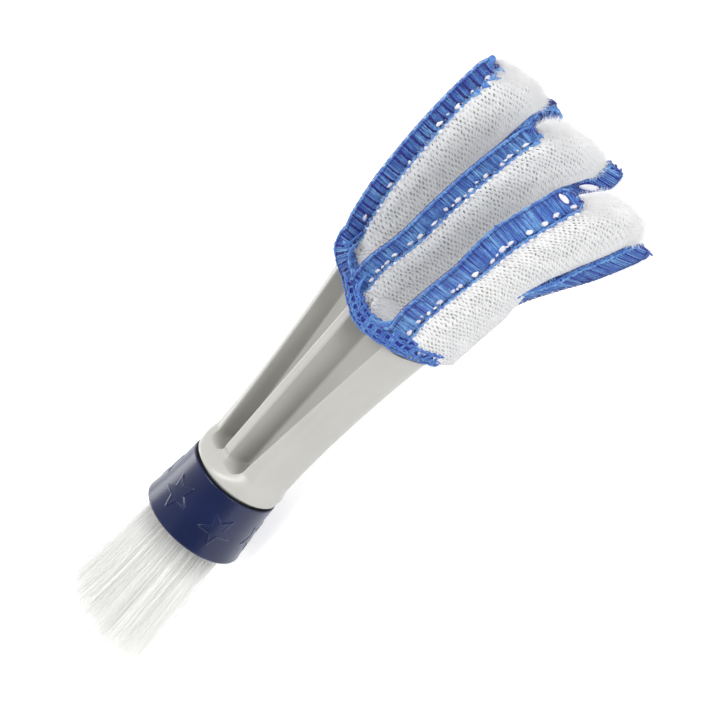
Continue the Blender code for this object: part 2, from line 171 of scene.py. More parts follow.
for name, place, size, power in (("overhead_lamp", (0.15, -0.1, 1.0), 0.5, 5.8),
                                 ("right_lamp", (0.7, -0.85, 0.38), 0.5, 5.4),
                                 ("left_lamp", (-0.5, 0.85, 0.3), 0.45, 2.4)):
    bpy.ops.object.light_add(type="AREA", location=place)
    lamp = bpy.context.active_object
    lamp.name = name
    lamp.data.size, lamp.data.energy = size, power
    lamp.rotation_euler = (-Vector(place)).to_track_quat("-Z", "Y").to_euler()
bpy.context.scene.view_settings.view_transform = "Standard"

# %% [markdown]
# ## Helpers for shapes
# Most of this brush is skin-like: a surface that runs along the axis and round it. Such a surface
# starts as a flat grid, as a sheet of clay does, and its points are then moved to their places.
# The grid brings a UV map, whose values are replaced by distances measured on the surface, in
# millimetres, so that patterns keep their size. Each point also keeps how far along and how far
# towards the front it is, for the materials.

# %% Selecting, shading, and rolling a grid into a surface
def only(piece):
    """Select one object and nothing else."""
    bpy.ops.object.select_all(action="DESELECT")
    piece.select_set(True)
    bpy.context.view_layer.objects.active = piece


def edit_all(piece):
    """Go into edit mode with everything of one piece selected."""
    only(piece)
    bpy.ops.object.mode_set(mode="EDIT")
    bpy.ops.mesh.select_all(action="SELECT")


def close_up(piece, caps=True):
    """Merge the joint of a rolled surface, close its open ends, and point its faces outwards."""
    edit_all(piece)
    bpy.ops.mesh.remove_doubles(threshold=0.0004)
    if caps:
        bpy.ops.mesh.fill_holes(sides=0)
    bpy.ops.mesh.select_all(action="SELECT")
    bpy.ops.mesh.normals_make_consistent(inside=False)
    bpy.ops.object.mode_set(mode="OBJECT")


def smooth(piece, sharp_from=None):
    """Shade a piece smoothly, if need be only up to edges of so many degrees."""
    only(piece)
    if sharp_from:
        bpy.ops.object.shade_smooth_by_angle(angle=math.radians(sharp_from))
    else:
        bpy.ops.object.shade_smooth()


def modify(piece, kind, **settings):
    """Give a piece a modifier and apply it."""
    modifier = piece.modifiers.new(kind.lower(), kind)
    for name, value in settings.items():
        setattr(modifier, name, value)
    only(piece)
    bpy.ops.object.modifier_apply(modifier=modifier.name)


def rolled(name, points):
    """Add a grid and move its points to an array of places, (along, around, 3), in millimetres."""
    along, around = points.shape[:2]
    bpy.ops.object.select_all(action="DESELECT")
    bpy.ops.mesh.primitive_grid_add(x_subdivisions=along - 1, y_subdivisions=around - 1, size=1)
    piece = bpy.context.active_object
    piece.name = piece.data.name = name
    mesh = piece.data
    co = np.empty(3 * len(mesh.vertices))
    mesh.vertices.foreach_get("co", co)
    co = co.reshape(-1, 3)
    i = np.rint((co[:, 0] + 0.5) * (along - 1)).astype(int)
    j = np.rint((co[:, 1] + 0.5) * (around - 1)).astype(int)
    mesh.vertices.foreach_set("co", points[i, j].ravel())
    run = np.append(0, np.cumsum(np.linalg.norm(np.diff(points, axis=0), axis=2).mean(axis=1)))
    round_it = np.cumsum(np.linalg.norm(np.diff(points, axis=1), axis=2), axis=1)
    round_it = np.hstack([np.zeros((along, 1)), round_it])
    round_it -= round_it[:, [around // 2]]
    uv = np.stack([np.broadcast_to(run[:, None], round_it.shape), round_it], axis=-1)
    corner = np.empty(len(mesh.loops), dtype=int)
    mesh.loops.foreach_get("vertex_index", corner)
    mesh.uv_layers[0].data.foreach_set("uv", uv[i[corner], j[corner]].ravel())
    towards_front = np.sin(math.tau * j / (around - 1))
    for label, values in (("along", i / (along - 1)), ("towards_front", towards_front)):
        mesh.attributes.new(label, "FLOAT", "POINT").data.foreach_set("value", values)
    mesh.update()
    return piece


# %% [markdown]
# What repeats, a bristle or a loop of thread, is modelled once as a tiny template with few faces.
# The copies are then set beside each other in one mesh, each with corners of its own. A shade
# from 0 to 1 is kept with each copy, so that the material can make no two quite alike.

# %% Setting many copies of a template, and finishing a piece
def template_shape(piece):
    """Take a template's corners and faces, and delete it."""
    corners = np.array([v.co[:] for v in piece.data.vertices])
    faces = [list(p.vertices) for p in piece.data.polygons]
    bpy.data.objects.remove(piece)
    return corners, faces


def set_copies(name, faces, placed, shades):
    """Make one mesh of many copies: placed is (copies, corners, 3), with a shade for each copy."""
    copies, corners = placed.shape[:2]
    every = [[v + k * corners for v in face] for k in range(copies) for face in faces]
    mesh = bpy.data.meshes.new(name)
    mesh.from_pydata(placed.reshape(-1, 3), [], every)
    shade = mesh.attributes.new("shade", "FLOAT", "POINT")
    shade.data.foreach_set("value", np.repeat(shades, corners))
    piece = bpy.data.objects.new(name, mesh)
    bpy.context.scene.collection.objects.link(piece)
    return piece


def joined(name, parts):
    """Join several objects into one."""
    bpy.ops.object.select_all(action="DESELECT")
    for part in parts:
        part.select_set(True)
    bpy.context.view_layer.objects.active = parts[0]
    bpy.ops.object.join()
    parts[0].name = parts[0].data.name = name
    return parts[0]


def finish(piece, body, slot, material, *stands_for):
    """Lay a piece down, give it its finish, and let it ride on its body in place of CAD nodes."""
    only(piece)
    piece.matrix_world = LAID_DOWN @ piece.matrix_world
    bpy.ops.object.transform_apply(location=True, rotation=True, scale=True)
    piece.data.materials.clear()
    piece.data.materials.append(material)
    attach(piece, body)
    if stands_for:
        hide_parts(*stands_for)
    print(piece.name, "-", len(piece.data.polygons), "faces")


# %% [markdown]
# ## Curves that the pieces share
# The grip swells from a round neck into a flat fork, and the fingers follow it. These curves say
# how wide, how deep and how far apart things are at each place x along the axis, in millimetres.
# They are the same curves as the CAD model's, so a new piece lies where its node does.

# %% Grip and fork
NECK_RADIUS, WAIST_AT, WAIST_HALF_WIDTH = 11.4, 8.0, 10.4
GRIP_LENGTH, CROTCH_HALF_WIDTH, GRIP_FLARE = 53.0, 15.7, 1.6
SHOULDER_LENGTH, GRIP_HALF_DEPTH, GRIP_SQUARENESS = 6.0, 7.3, 5.0
PLATE_HALF_DEPTH, PLATE_RISE = 8.2, 0.9
CHANNEL_START, CHANNEL_RUN_OUT, CHANNEL_DRAFT, WEB_HALF = 3.2, 1.4, 0.11, 1.2
PRONG_LENGTH, PRONG_TIP, PRONG_THICKNESS, ROOT_EXTRA = 50.5, 103.5, 2.2, 0.7
INNER_FACES = ((CHANNEL_START, 6.6), (GRIP_LENGTH, 12.4), (PRONG_TIP, 20.2))
TIP_LEAN, TIP_DROP = 0.096, 6.0


def ease(t):
    """Go smoothly from 0 to 1 as t does."""
    t = np.clip(t, 0.0, 1.0)
    return t * t * (3.0 - 2.0 * t)


def power_point(angle, power):
    """Point at an angle on a rounded square of half-width 1; a power of 2 gives a circle."""
    c, s = np.cos(angle), np.sin(angle)
    return np.sign(c) * np.abs(c) ** (2.0 / power), np.sign(s) * np.abs(s) ** (2.0 / power)


def grip_half_width(x):
    """Half of the grip's width: it narrows to a waist and then flares."""
    along = np.maximum(x - WAIST_AT, 0.0) / (GRIP_LENGTH - WAIST_AT)
    return (NECK_RADIUS + (WAIST_HALF_WIDTH - NECK_RADIUS) * ease(x / WAIST_AT)
            + (CROTCH_HALF_WIDTH - WAIST_HALF_WIDTH) * along ** GRIP_FLARE)


def grip_half_depth(x):
    """Half of the grip's depth: it falls over a shoulder."""
    return NECK_RADIUS + (GRIP_HALF_DEPTH - NECK_RADIUS) * ease(x / SHOULDER_LENGTH)


def grip_power(x):
    """Squareness of the grip's outline: round at the neck, nearly a rectangle beyond the waist."""
    return 2.0 + (GRIP_SQUARENESS - 2.0) * ease(x / WAIST_AT)


def middle_half_depth(x):
    """Half of the middle plate's depth, which stands a little higher than the outer ones."""
    return PLATE_HALF_DEPTH + PLATE_RISE * x / GRIP_LENGTH


def inner_face(x):
    """Distance of an outer plate's inner face from the axis: a parabola through three places."""
    (a, at_a), (b, at_b), (c, at_c) = INNER_FACES
    return (at_a * (x - b) * (x - c) / ((a - b) * (a - c))
            + at_b * (x - a) * (x - c) / ((b - a) * (b - c))
            + at_c * (x - a) * (x - b) / ((c - a) * (c - b)))


def along_prong(x):
    """Share of the prong's length that x has come."""
    return np.maximum(x - GRIP_LENGTH, 0.0) / PRONG_LENGTH


def on_finger(x, y, up):
    """Place on a finger, whose tip drops towards the back and leans."""
    share = along_prong(x)
    return np.stack(np.broadcast_arrays(x + TIP_LEAN * share ** 2 * up, y,
                                        up - TIP_DROP * share ** 3), axis=-1)


def prong_thickness(x, outer):
    """Thickness of a prong. The outer ones are thicker at their root."""
    extra = 1.0 - ease((x - GRIP_LENGTH) / (PRONG_LENGTH / 2))
    return PRONG_THICKNESS + (ROOT_EXTRA * extra if outer else 0.0)


def finger_centre(x, side):
    """Distance of a finger's middle from the axis: side is 1 for left, 0 middle, -1 right."""
    return side * (inner_face(x) + prong_thickness(x, True) / 2)


print("gap between the prongs at their tips, in mm:",
      round(inner_face(PRONG_TIP) - PRONG_THICKNESS / 2, 1))

# %% [markdown]
# ## Handle
# One moulding in pale warm-grey ABS: a round neck, then three lengthwise plates on a thin web,
# which leave two open channels on each face, and three springy prongs. The CAD node has the right
# shape but hard edges, and moulded plastic has none: each edge catches a thin line of light. So it
# is made again. A quarter of the grip is one rolled surface, with a rounded line for its section,
# and mirrors make the rest.

# %% Section of the grip, from the middle plate's crest down a channel and over an outer plate
CREST_HALF, CREST_BLEND, LAND, NECK_EDGE = 1.2, 0.8, 1.0, 0.3
CREST_CUT, FOOT_CUT, HEEL_CUT, LIP_CUT = 0.6, 0.9, 0.5, 0.6
STRAIGHT_POINTS, BEND_POINTS, SIDE_POINTS = 8, 5, 40


def rounded_line(points, cuts):
    """Points along a line of corners, where each corner is rounded from its cut before it on."""
    points = np.array(points, dtype=float)
    out = []
    for k in range(len(points) - 1):
        a, b = points[k], points[k + 1]
        length = np.linalg.norm(b - a)
        first = a + (b - a) * min(cuts[k] / length, 0.45)
        last = b - (b - a) * min(cuts[k + 1] / length, 0.45)
        out += [first + (last - first) * t for t in np.linspace(0, 1, STRAIGHT_POINTS)]
        if k + 2 < len(points):
            c = points[k + 2]
            after = b + (c - b) * min(cuts[k + 1] / np.linalg.norm(c - b), 0.45)
            out += [last * (1 - t) ** 2 + b * 2 * t * (1 - t) + after * t ** 2
                    for t in np.linspace(0, 1, BEND_POINTS + 2)[1:-1]]
    return np.array(out)


def quarter_section(x):
    """Left front quarter of the grip's section at x."""
    width, depth, power = grip_half_width(x), grip_half_depth(x), grip_power(x)

    def outline(y):
        return depth * np.maximum(1 - (np.minimum(y / width, 1)) ** power, 0) ** (1 / power)

    crest = middle_half_depth(x)
    blend = max(CREST_BLEND - abs(crest - depth), 0) / CREST_BLEND
    crest = max(crest, depth) + blend * blend * CREST_BLEND / 4
    face = inner_face(x)
    land = face + LAND
    foot = CREST_HALF + CHANNEL_DRAFT * (crest - WEB_HALF)
    heel = face - CHANNEL_DRAFT * (depth - WEB_HALF)
    line = rounded_line(
        [(0, crest), (CREST_HALF, crest), (foot, WEB_HALF), (heel, WEB_HALF), (face, outline(face)),
         (land, outline(land))], [0, CREST_CUT, FOOT_CUT, HEEL_CUT, LIP_CUT, 0])
    middle, reach = (foot + heel) / 2, (heel - foot) / 2 + 0.9
    start = CHANNEL_START + np.minimum(np.abs(line[:, 0] - middle) / reach, 1.0) ** 4
    open_by = ease((x - start) / CHANNEL_RUN_OUT)
    line[:, 1] = outline(line[:, 0]) + (line[:, 1] - outline(line[:, 0])) * open_by
    y, z = power_point(np.linspace(0, math.pi / 2, 600), power)
    y, z = y * width, z * depth
    beyond = y > land
    y = np.concatenate([[land], y[beyond][::-1], [width]])
    z = np.concatenate([[outline(land)], z[beyond][::-1], [0.0]])
    run = np.append(0, np.cumsum(np.hypot(np.diff(y), np.diff(z))))
    even = np.linspace(0, run[-1], SIDE_POINTS)[1:]
    side = np.stack([np.interp(even, run, y), np.interp(even, run, z)], axis=-1)
    return np.vstack([line, side])


# %% Roll the quarter, mirror it twice, and add the spigot that the collar grips
stations = np.concatenate([[0, 0.04, 0.12, NECK_EDGE], np.arange(0.8, 3.0, 0.45),
                           np.arange(3.0, 7.0, 0.2), np.linspace(7.0, GRIP_LENGTH, 56)])
sections = []
for x in stations:
    section = quarter_section(x)
    rounding = 1 - math.sqrt(1 - max(1 - x / NECK_EDGE, 0) ** 2)
    section *= 1 - NECK_EDGE * rounding / NECK_RADIUS
    sections.append(np.column_stack([np.full(len(section), x), section]))
grip = rolled("grip_and_fork", np.array(sections))
for axis in range(2):
    modify(grip, "MIRROR", use_axis=(False, axis == 0, axis == 1), merge_threshold=0.001)

edit_all(grip)
bpy.ops.mesh.remove_doubles(threshold=0.0004)
bpy.ops.mesh.select_all(action="DESELECT")
bpy.ops.object.mode_set(mode="OBJECT")
bpy.context.tool_settings.mesh_select_mode = (False, True, False)
for edge in grip.data.edges:
    edge.select = all(grip.data.vertices[v].co.x < 0.001 for v in edge.vertices)
bpy.ops.object.mode_set(mode="EDIT")
for scale, run in ((10.0 / 11.1, 0.0), (1.0, -7.0), (8.2 / 10.0, 0.0), (1.0, 5.2)):
    bpy.ops.mesh.extrude_region_move(TRANSFORM_OT_translate={"value": (run, 0, 0)})
    bpy.ops.transform.resize(value=(1, scale, scale), center_override=(0, 0, 0))
bpy.ops.mesh.edge_face_add()
bpy.ops.object.mode_set(mode="OBJECT")
close_up(grip)
print("grip:", len(grip.data.polygons), "faces")

# %% [markdown]
# Each prong is a flat strip with rounded edges and a rounded tip. It is rolled from a grid as well,
# and a boolean union welds it to the grip, as the mould does. The outer prongs are flat inside and
# bulge outwards.

# %% Prongs
PRONG_DEPTH, DEPTH_TAPER, TIP_ROUND, END_ROUND = 11.0, 2.0, 5.0, 0.8


def round_off(x, last, least):
    """Share of its size that a prong keeps at x, where it is rounded over its last millimetres."""
    return np.sqrt(np.maximum(1 - np.maximum((x - PRONG_TIP + last) / last, 0) ** 2, least))


def prong_surface(side):
    """Places on a prong, from inside the grip to its tip."""
    at_tip = np.sin(np.linspace(0, math.pi / 2, 15)[1:])
    x = np.concatenate([np.linspace(GRIP_LENGTH - 1.2, PRONG_TIP - TIP_ROUND, 50),
                        PRONG_TIP - TIP_ROUND + TIP_ROUND * at_tip])[:, None]
    angle = np.linspace(0, math.tau, 49)[None, :]
    depth = (PRONG_DEPTH - DEPTH_TAPER * along_prong(x)) / 2 * round_off(x, TIP_ROUND, 0.01)
    across, up = power_point(angle, 3.5)
    if side:
        across = np.where(across * side > 0, side * np.sqrt(np.maximum(1 - up ** 2, 0)), across)
    half = prong_thickness(x, side != 0) / 2 * round_off(x, END_ROUND, 0.05)
    return on_finger(x, finger_centre(x, side) + half * across, depth * up)


NAMES = {1: "left", 0: "middle", -1: "right"}
for side, name in NAMES.items():
    prong = rolled(name + "_prong", prong_surface(side))
    close_up(prong)
    modify(grip, "BOOLEAN", operation="UNION", object=prong, solver="EXACT")
    bpy.data.objects.remove(prong)
smooth(grip, sharp_from=35)

# %% [markdown]
# ABS that comes off a polished mould is smooth, with a soft, wide shine. Its colour is nearly even:
# a faint drift in tone, a few centimetres wide, and a slight unevenness of the surface keep it
# from looking like a computer's plastic. Deep in the channels, where little of the sky is seen, the
# colour is darkened by an ambient occlusion node: this is painted shade. Object coordinates are in
# metres here, so a scale of 60 makes blotches of about 17 mm.

# %% Moulded ABS in warm grey
grey_abs, tree, shader = new_material("moulded_abs_warm_grey")
place = add_node(tree, "TexCoord").outputs["Object"]
drift = add_node(tree, "TexNoise", {"Vector": place, "Scale": 60.0, "Detail": 3.0})
tone = add_node(tree, "ValToRGB", {"Fac": drift}, stops=((0.3, "#BBBAB5"), (0.7, "#C3C2BD")))
# Painted shade: the grey's colour darkens where ambient occlusion finds little open sky.
open_sky = add_node(tree, "AmbientOcclusion", {"Distance": 0.009}, samples=8).outputs["AO"]
shade = add_node(tree, "MapRange", {"Value": open_sky, "From Min": 0.15, "From Max": 0.7,
                                    "To Min": 0.72, "To Max": 1.0})
painted_shade_tone = add_node(tree, "VectorMath", {0: tone, "Scale": shade}, operation="SCALE")
peel = add_node(tree, "TexNoise", {"Vector": place, "Scale": 900.0, "Detail": 2.0})
relief = add_node(tree, "Bump", {"Height": peel, "Strength": 0.25, "Distance": 0.00003})
plug(shader, {"Base Color": painted_shade_tone, "Normal": relief, "Roughness": 0.3, "IOR": 1.52})
finish(grip, "handle", "grey_plastic", grey_abs, "handle")

# %% [markdown]
# ## Collar
# A navy sleeve of polypropylene, a little hollow between its ends, with a rounded rim. Six
# five-pointed stars stand proud of it: a thin raised line runs round each, and the field inside
# is a hair higher than the sleeve. A star is drawn on the sleeve as if it were unrolled, and each
# point of a fine grid is lifted by its distance from the star's outline.

# %% Roll the sleeve and lift the stars
COLLAR_LENGTH, COLLAR_TOP, COLLAR_TOP_RADIUS, COLLAR_RIM_RADIUS = 17.1, -0.75, 11.6, 13.1
TOP_EDGE, RIM_EDGE, BORE_RADIUS, ROUND_COLLAR = 0.3, 0.6, 10.3, 481
STARS, STAR_RADIUS, STAR_WAIST, STAR_AT, STAR_TURN = 6, 4.3, 0.42, -9.1, 38.8
LINE_HEIGHT, LINE_WIDTH, FIELD_HEIGHT, FIRST_STAR = 0.11, 0.17, 0.1, -5


def star_distance(along, round_it):
    """Distance from a star's outline, in mm: below 0 inside it."""
    corners = []
    for k in range(10):
        radius = STAR_RADIUS * (1.0 if k % 2 == 0 else STAR_WAIST)
        turn = math.radians(STAR_TURN + 36 * k)
        corners.append((radius * math.cos(turn), radius * math.sin(turn)))
    near = np.full(np.shape(along), 1e9)
    inside = np.zeros(np.shape(along), dtype=bool)
    for (ax, ay), (bx, by) in zip(corners, corners[1:] + corners[:1]):
        t = np.clip(((along - ax) * (bx - ax) + (round_it - ay) * (by - ay))
                    / ((bx - ax) ** 2 + (by - ay) ** 2), 0, 1)
        away = np.hypot(along - ax - t * (bx - ax), round_it - ay - t * (by - ay))
        near = np.minimum(near, away)
        crosses = (ay > round_it) != (by > round_it)
        inside ^= crosses & (along < ax + (round_it - ay) * (bx - ax) / (by - ay + 1e-12))
    return np.where(inside, -near, near)


top, rim = COLLAR_TOP, -COLLAR_LENGTH
at_top, at_rim = np.linspace(0, math.pi / 2, 5)[:-1], np.linspace(0, math.pi / 2, 7)[1:]
x = np.concatenate([top - TOP_EDGE * (1 - np.cos(at_top)),
                    np.linspace(top - TOP_EDGE, rim + RIM_EDGE, 104),
                    rim + RIM_EDGE * (1 - np.sin(at_rim))])[:, None]
share = np.clip((top - x) / (top - rim - RIM_EDGE), 0, 1)
radius = COLLAR_TOP_RADIUS + (COLLAR_RIM_RADIUS - COLLAR_TOP_RADIUS) * share - share * (1 - share)
for edge, away in ((TOP_EDGE, top - x), (RIM_EDGE, x - rim)):
    radius = radius - edge * (1 - np.sqrt(1 - np.clip(1 - away / edge, 0, 1) ** 2))
angle = np.linspace(0, math.tau, ROUND_COLLAR)[None, :]
lift = np.zeros((len(x), ROUND_COLLAR))
for k in range(STARS):
    turned = (angle - math.radians(FIRST_STAR + 60 * k) + math.pi) % math.tau - math.pi
    distance = star_distance(x - STAR_AT + 0 * turned, turned * 12.4 + 0 * x)
    lift += LINE_HEIGHT * np.exp(-(distance / LINE_WIDTH) ** 2)
    lift += FIELD_HEIGHT * ease(0.5 - distance / 0.4)
bore = np.array([(rim, 12.2), (rim + 0.3, BORE_RADIUS + 0.3), (rim + 0.9, BORE_RADIUS),
                 (top, BORE_RADIUS)])
outside, bore = [np.stack(np.broadcast_arrays(along, away * np.sin(angle), away * np.cos(angle)),
                          axis=-1)
                 for along, away in ((x, radius + lift), (bore[:, :1], bore[:, 1:]))]
collar = rolled("starred_collar", np.concatenate([outside, bore, outside[:1]]))
close_up(collar, caps=False)
smooth(collar, sharp_from=50)

# %% [markdown]
# Polypropylene takes a waxy, satin finish. The navy is deep where it faces the camera and turns
# slate blue at the sides, because a satin surface reflects its surroundings there. The shader's
# own Fresnel does that. A grain of about half a millimetre breaks the shine. In the narrow gap
# under the handle's rim, an ambient occlusion node darkens the colour and the tint of the
# reflection
# nearly to black: this is painted shade.

# %% Moulded polypropylene in navy
navy_pp, tree, shader = new_material("moulded_polypropylene_navy")
place = add_node(tree, "TexCoord").outputs["Object"]
drift = add_node(tree, "TexNoise", {"Vector": place, "Scale": 120.0, "Detail": 4.0})
tone = add_node(tree, "ValToRGB", {"Fac": drift}, stops=((0.3, "#08173F"), (0.7, "#0B1B48")))
# Painted shade: colour and reflection tint go nearly black where ambient occlusion finds the gap
# under the rim.
open_sky = add_node(tree, "AmbientOcclusion", {"Distance": 0.002}, samples=8).outputs["AO"]
shade = add_node(tree, "MapRange", {"Value": open_sky, "From Min": 0.5, "From Max": 0.85})
painted_shade_tone = add_node(tree, "VectorMath", {0: tone, "Scale": shade}, operation="SCALE")
grain = add_node(tree, "TexNoise", {"Vector": place, "Scale": 2000.0, "Detail": 2.0})
relief = add_node(tree, "Bump", {"Height": grain, "Strength": 0.4, "Distance": 0.00003})
plug(shader, {"Base Color": painted_shade_tone, "Specular Tint": shade, "Normal": relief, "Roughness": 0.26,
              "IOR": 1.46, "Sheen Weight": 0.6, "Sheen Roughness": 0.3,
              "Sheen Tint": linear("#DCE6FF")})
finish(collar, "handle", "navy_plastic", navy_pp, "collar")

# %% [markdown]
# ## Bristle cup
# Inside the collar, a white plastic cup holds the root of the tuft. Hardly any of it shows, so
# the CAD node stays as it is and only gets its finish: plain polypropylene with a faint grain.

# %% Finish of the cup
white_pp, tree, shader = new_material("moulded_polypropylene_white")
place = add_node(tree, "TexCoord").outputs["Object"]
grain = add_node(tree, "TexNoise", {"Vector": place, "Scale": 1500.0, "Detail": 3.0})
tone = add_node(tree, "ValToRGB", {"Fac": grain}, stops=((0.0, "#DCDCD6"), (1.0, "#E6E6E2")))
relief = add_node(tree, "Bump", {"Height": grain, "Strength": 0.3, "Distance": 0.00004})
plug(shader, {"Base Color": tone, "Normal": relief, "Roughness": 0.45})
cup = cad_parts["bristle_cup"]
cup.data.materials.clear()
cup.data.materials.append(white_pp)

# %% [markdown]
# ## Tuft
# A few thousand nylon filaments, set in resin in small bundles. They fan out, the lowest rest on
# the table, and some stray. The tuft is worn to a slant, so it is longer on its right. One
# filament is a three-sided cone with a few cuts along it; every copy bends along its own line.

# %% One filament, as a template
bpy.ops.object.select_all(action="DESELECT")
bpy.ops.mesh.primitive_cone_add(vertices=3, radius1=1, radius2=0.5, depth=1, location=(0, 0, 0.5))
filament = bpy.context.active_object
bpy.ops.object.transform_apply(location=True)
for cut in (0.2, 0.4, 0.6, 0.8):
    edit_all(filament)
    bpy.ops.mesh.bisect(plane_co=(0, 0, cut), plane_no=(0, 0, 1))
    bpy.ops.object.mode_set(mode="OBJECT")
filament_corners, filament_faces = template_shape(filament)
print("a filament has", len(filament_faces), "faces")

# %% Fan the bundles out
chance = np.random.default_rng(7)
BUNDLES, IN_BUNDLE, TUFT_RADIUS, ROOT_AT, REACH = 170, 28, 8.7, -12.7, 34.0
WEAR, SLANT, SPREAD, STRAY_SHARE, STRAY, WANDER, LEAN = 4.5, 0.32, 1.0, 0.06, 2.6, 0.65, 0.3
FAN_SIDEWAYS, FAN_UP, RISE = 0.5, 0.34, 1.0
ROOT_THICK, TIP_THICK = 0.062, 0.035
GOLDEN_ANGLE = 2.39996
k = np.arange(BUNDLES)
spiral = 8.0 * ((k + 0.5) / BUNDLES) ** 0.45
bundle = np.stack([spiral * np.cos(k * GOLDEN_ANGLE), spiral * np.sin(k * GOLDEN_ANGLE)], axis=-1)
bundle = np.repeat(bundle, IN_BUNDLE, axis=0)
count = len(bundle)
spread = SPREAD * np.sqrt(chance.random(count))
turn = chance.random(count) * math.tau
offset = np.stack([spread * np.cos(turn), spread * np.sin(turn)], axis=-1)
stray = np.where(chance.random(count) < STRAY_SHARE, STRAY, 1.0)[:, None]
wander = chance.normal(0, WANDER, (count, 2)) * stray
lean = np.repeat(chance.normal(0, LEAN, (BUNDLES, 2)), IN_BUNDLE, axis=0)
reach = (REACH - WEAR * chance.random(count) ** 1.8
         - SLANT * (0.77 * bundle[:, 0] + 0.64 * bundle[:, 1]))


def filament_line(t):
    """Middle line of every filament at the shares t of its length, (copies, shares, 3)."""
    t = t[None, :, None]
    root = bundle[:, None] + offset[:, None] * (1 - 0.2 * t)
    bow = np.sin(t * 5.0 + turn[:, None, None]) * 0.12 * t
    yz = root * (1 + 0.12 * (1 - np.exp(-t / 0.05)) + np.array([FAN_SIDEWAYS, FAN_UP]) * t)
    yz = yz + (wander + lean)[:, None] * t ** 1.7 + bow + np.array([0.0, RISE]) * t
    x = ROOT_AT - (COLLAR_LENGTH + reach[:, None, None] + ROOT_AT) * t
    table = TABLE_SLOPE * (-COLLAR_LENGTH - x[..., 0]) - COLLAR_RIM_RADIUS + 0.3
    yz[..., 1] = np.maximum(yz[..., 1], table)
    return np.concatenate([x, yz], axis=-1)


t = filament_corners[:, 2]
placed = filament_line(t)
twist = np.arctan2(filament_corners[:, 1], filament_corners[:, 0])[None, :] + turn[:, None] * 3
thick = (ROOT_THICK + (TIP_THICK - ROOT_THICK) * t)[None, :]
placed[..., 1] += thick * np.cos(twist)
placed[..., 2] += thick * np.sin(twist)
tuft = set_copies("tuft", filament_faces, placed, chance.random(count))

# %% The slice of resin that they stand in
bpy.ops.object.select_all(action="DESELECT")
bpy.ops.mesh.primitive_cylinder_add(vertices=48, radius=TUFT_RADIUS, depth=3.0,
                                    location=(ROOT_AT + 1.6, 0, 0), rotation=(0, math.pi / 2, 0))
resin = bpy.context.active_object
bpy.ops.object.transform_apply(location=True, rotation=True)
edit_all(resin)
bpy.ops.mesh.bevel(offset=0.4, segments=3)
bpy.ops.object.mode_set(mode="OBJECT")
tuft = joined("tuft", [tuft, resin])
smooth(tuft, sharp_from=70)

# %% [markdown]
# Nylon filament is clear, and a mass of it looks white because light bounces from one to the next.
# So half of the light that meets a filament comes out on its far side, softened, and a quarter of
# all of it goes straight on, which lets the thin tips fade into what is behind them. Light in a
# real tuft bounces far more often than is computed here, so a faint glow stands in for the rest.
# Near the collar, where the filaments stand close, their colour is darkened: painted shade.

# %% Nylon filament
nylon, tree, shader = new_material("drawn_nylon_filament")
shade = add_node(tree, "Attribute", attribute_name="shade").outputs["Fac"]
tone = add_node(tree, "ValToRGB", {"Fac": shade}, stops=((0.0, "#F3F3F1"), (1.0, "#FFFFFF")))
place = add_node(tree, "SeparateXYZ", {"Vector": add_node(tree, "TexCoord").outputs["Object"]})
# Painted shade: the filaments' colour darkens over the last centimetre towards the collar.
deep = add_node(tree, "MapRange", {"Value": place, "From Min": -0.058, "From Max": -0.047,
                                   "To Min": 1.0, "To Max": 0.8}, interpolation_type="SMOOTHSTEP")
tone = add_node(tree, "VectorMath", {0: tone, "Scale": deep}, operation="SCALE")
plug(shader, {"Base Color": tone, "Emission Color": tone, "Emission Strength": 0.11,
              "Roughness": 0.45})
through = add_node(tree, "BsdfTranslucent", {"Color": tone})
lit = add_node(tree, "MixShader", {0: 0.5, 1: shader, 2: through})
seen = add_node(tree, "MixShader", {0: 0.25, 1: lit, 2: add_node(tree, "BsdfTransparent")})
plug(tree.nodes["Material Output"], {"Surface": seen})
finish(tuft, "handle", "clear_bristle", nylon, "bristle_tuft")

# %% [markdown]
# ## The cover's outline
# The cover is a knitted glove with three pockets. Each pocket is a strip of cloth, folded over at
# the tip and overlocked along its front and back edges. A pocket bulges over its prong and is
# pinched at the seams, and its back edge hangs down in slack cloth nearer the tip. No two tips
# are alike: each has a reach, a bulge, and corners that draw back by their own amounts. The middle
# finger's front edge rides high at its root, where the hem pulls it a little to the left, and its
# back edge is drawn up near the tip.

# %% Reach of a finger's edges
FINGER_START, ROOT_RUN, CLOTH = 56.4, 20.0, 0.8
TIP_REACH = {1: 108.2, 0: 110.6, -1: 109.6}
TIP_BULGE = {1: 1.2, 0: 1.5, -1: 2.2}
FRONT_CORNER = {1: -0.3, 0: 0.9, -1: 3.0}
BACK_CORNER = {1: 1.6, 0: 2.4, -1: 3.4}
BAND_HALF_WIDTH = {1: 2.5, 0: 2.6, -1: 3.2}
ROOT_LIFT = {1: -1.8, 0: 2.3, -1: 0.2}
ROOT_SHIFT = {1: 0.0, 0: 1.4, -1: 0.0}
BACK_SLACK = {1: 3.0, 0: 7.4, -1: 7.5}
DRAWN_UP = {1: 0.0, 0: 4.2, -1: 0.0}


def near_root(x):
    """Goes from 1 at a finger's root to 0 further on."""
    return 1 - ease((x - FINGER_START) / ROOT_RUN)


def finger_front(x, side):
    """Reach of a finger's front edge from its middle."""
    return 11.4 + 1.8 * ease((x - FINGER_START) / 9.0) + ROOT_LIFT[side] * near_root(x)


def finger_back(x, side):
    """Reach of a finger's back edge from its middle."""
    drawn_up = DRAWN_UP[side] * ease((x - 89) / 9) * (1 - ease((x - 98) / 9))
    return 12.3 + BACK_SLACK[side] * ease((x - GRIP_LENGTH - 21.0) / 29.0) - drawn_up


def cloth_middle(x, side):
    """Distance of a finger's cloth from the axis."""
    return finger_centre(x, side) + ROOT_SHIFT[side] * near_root(x)


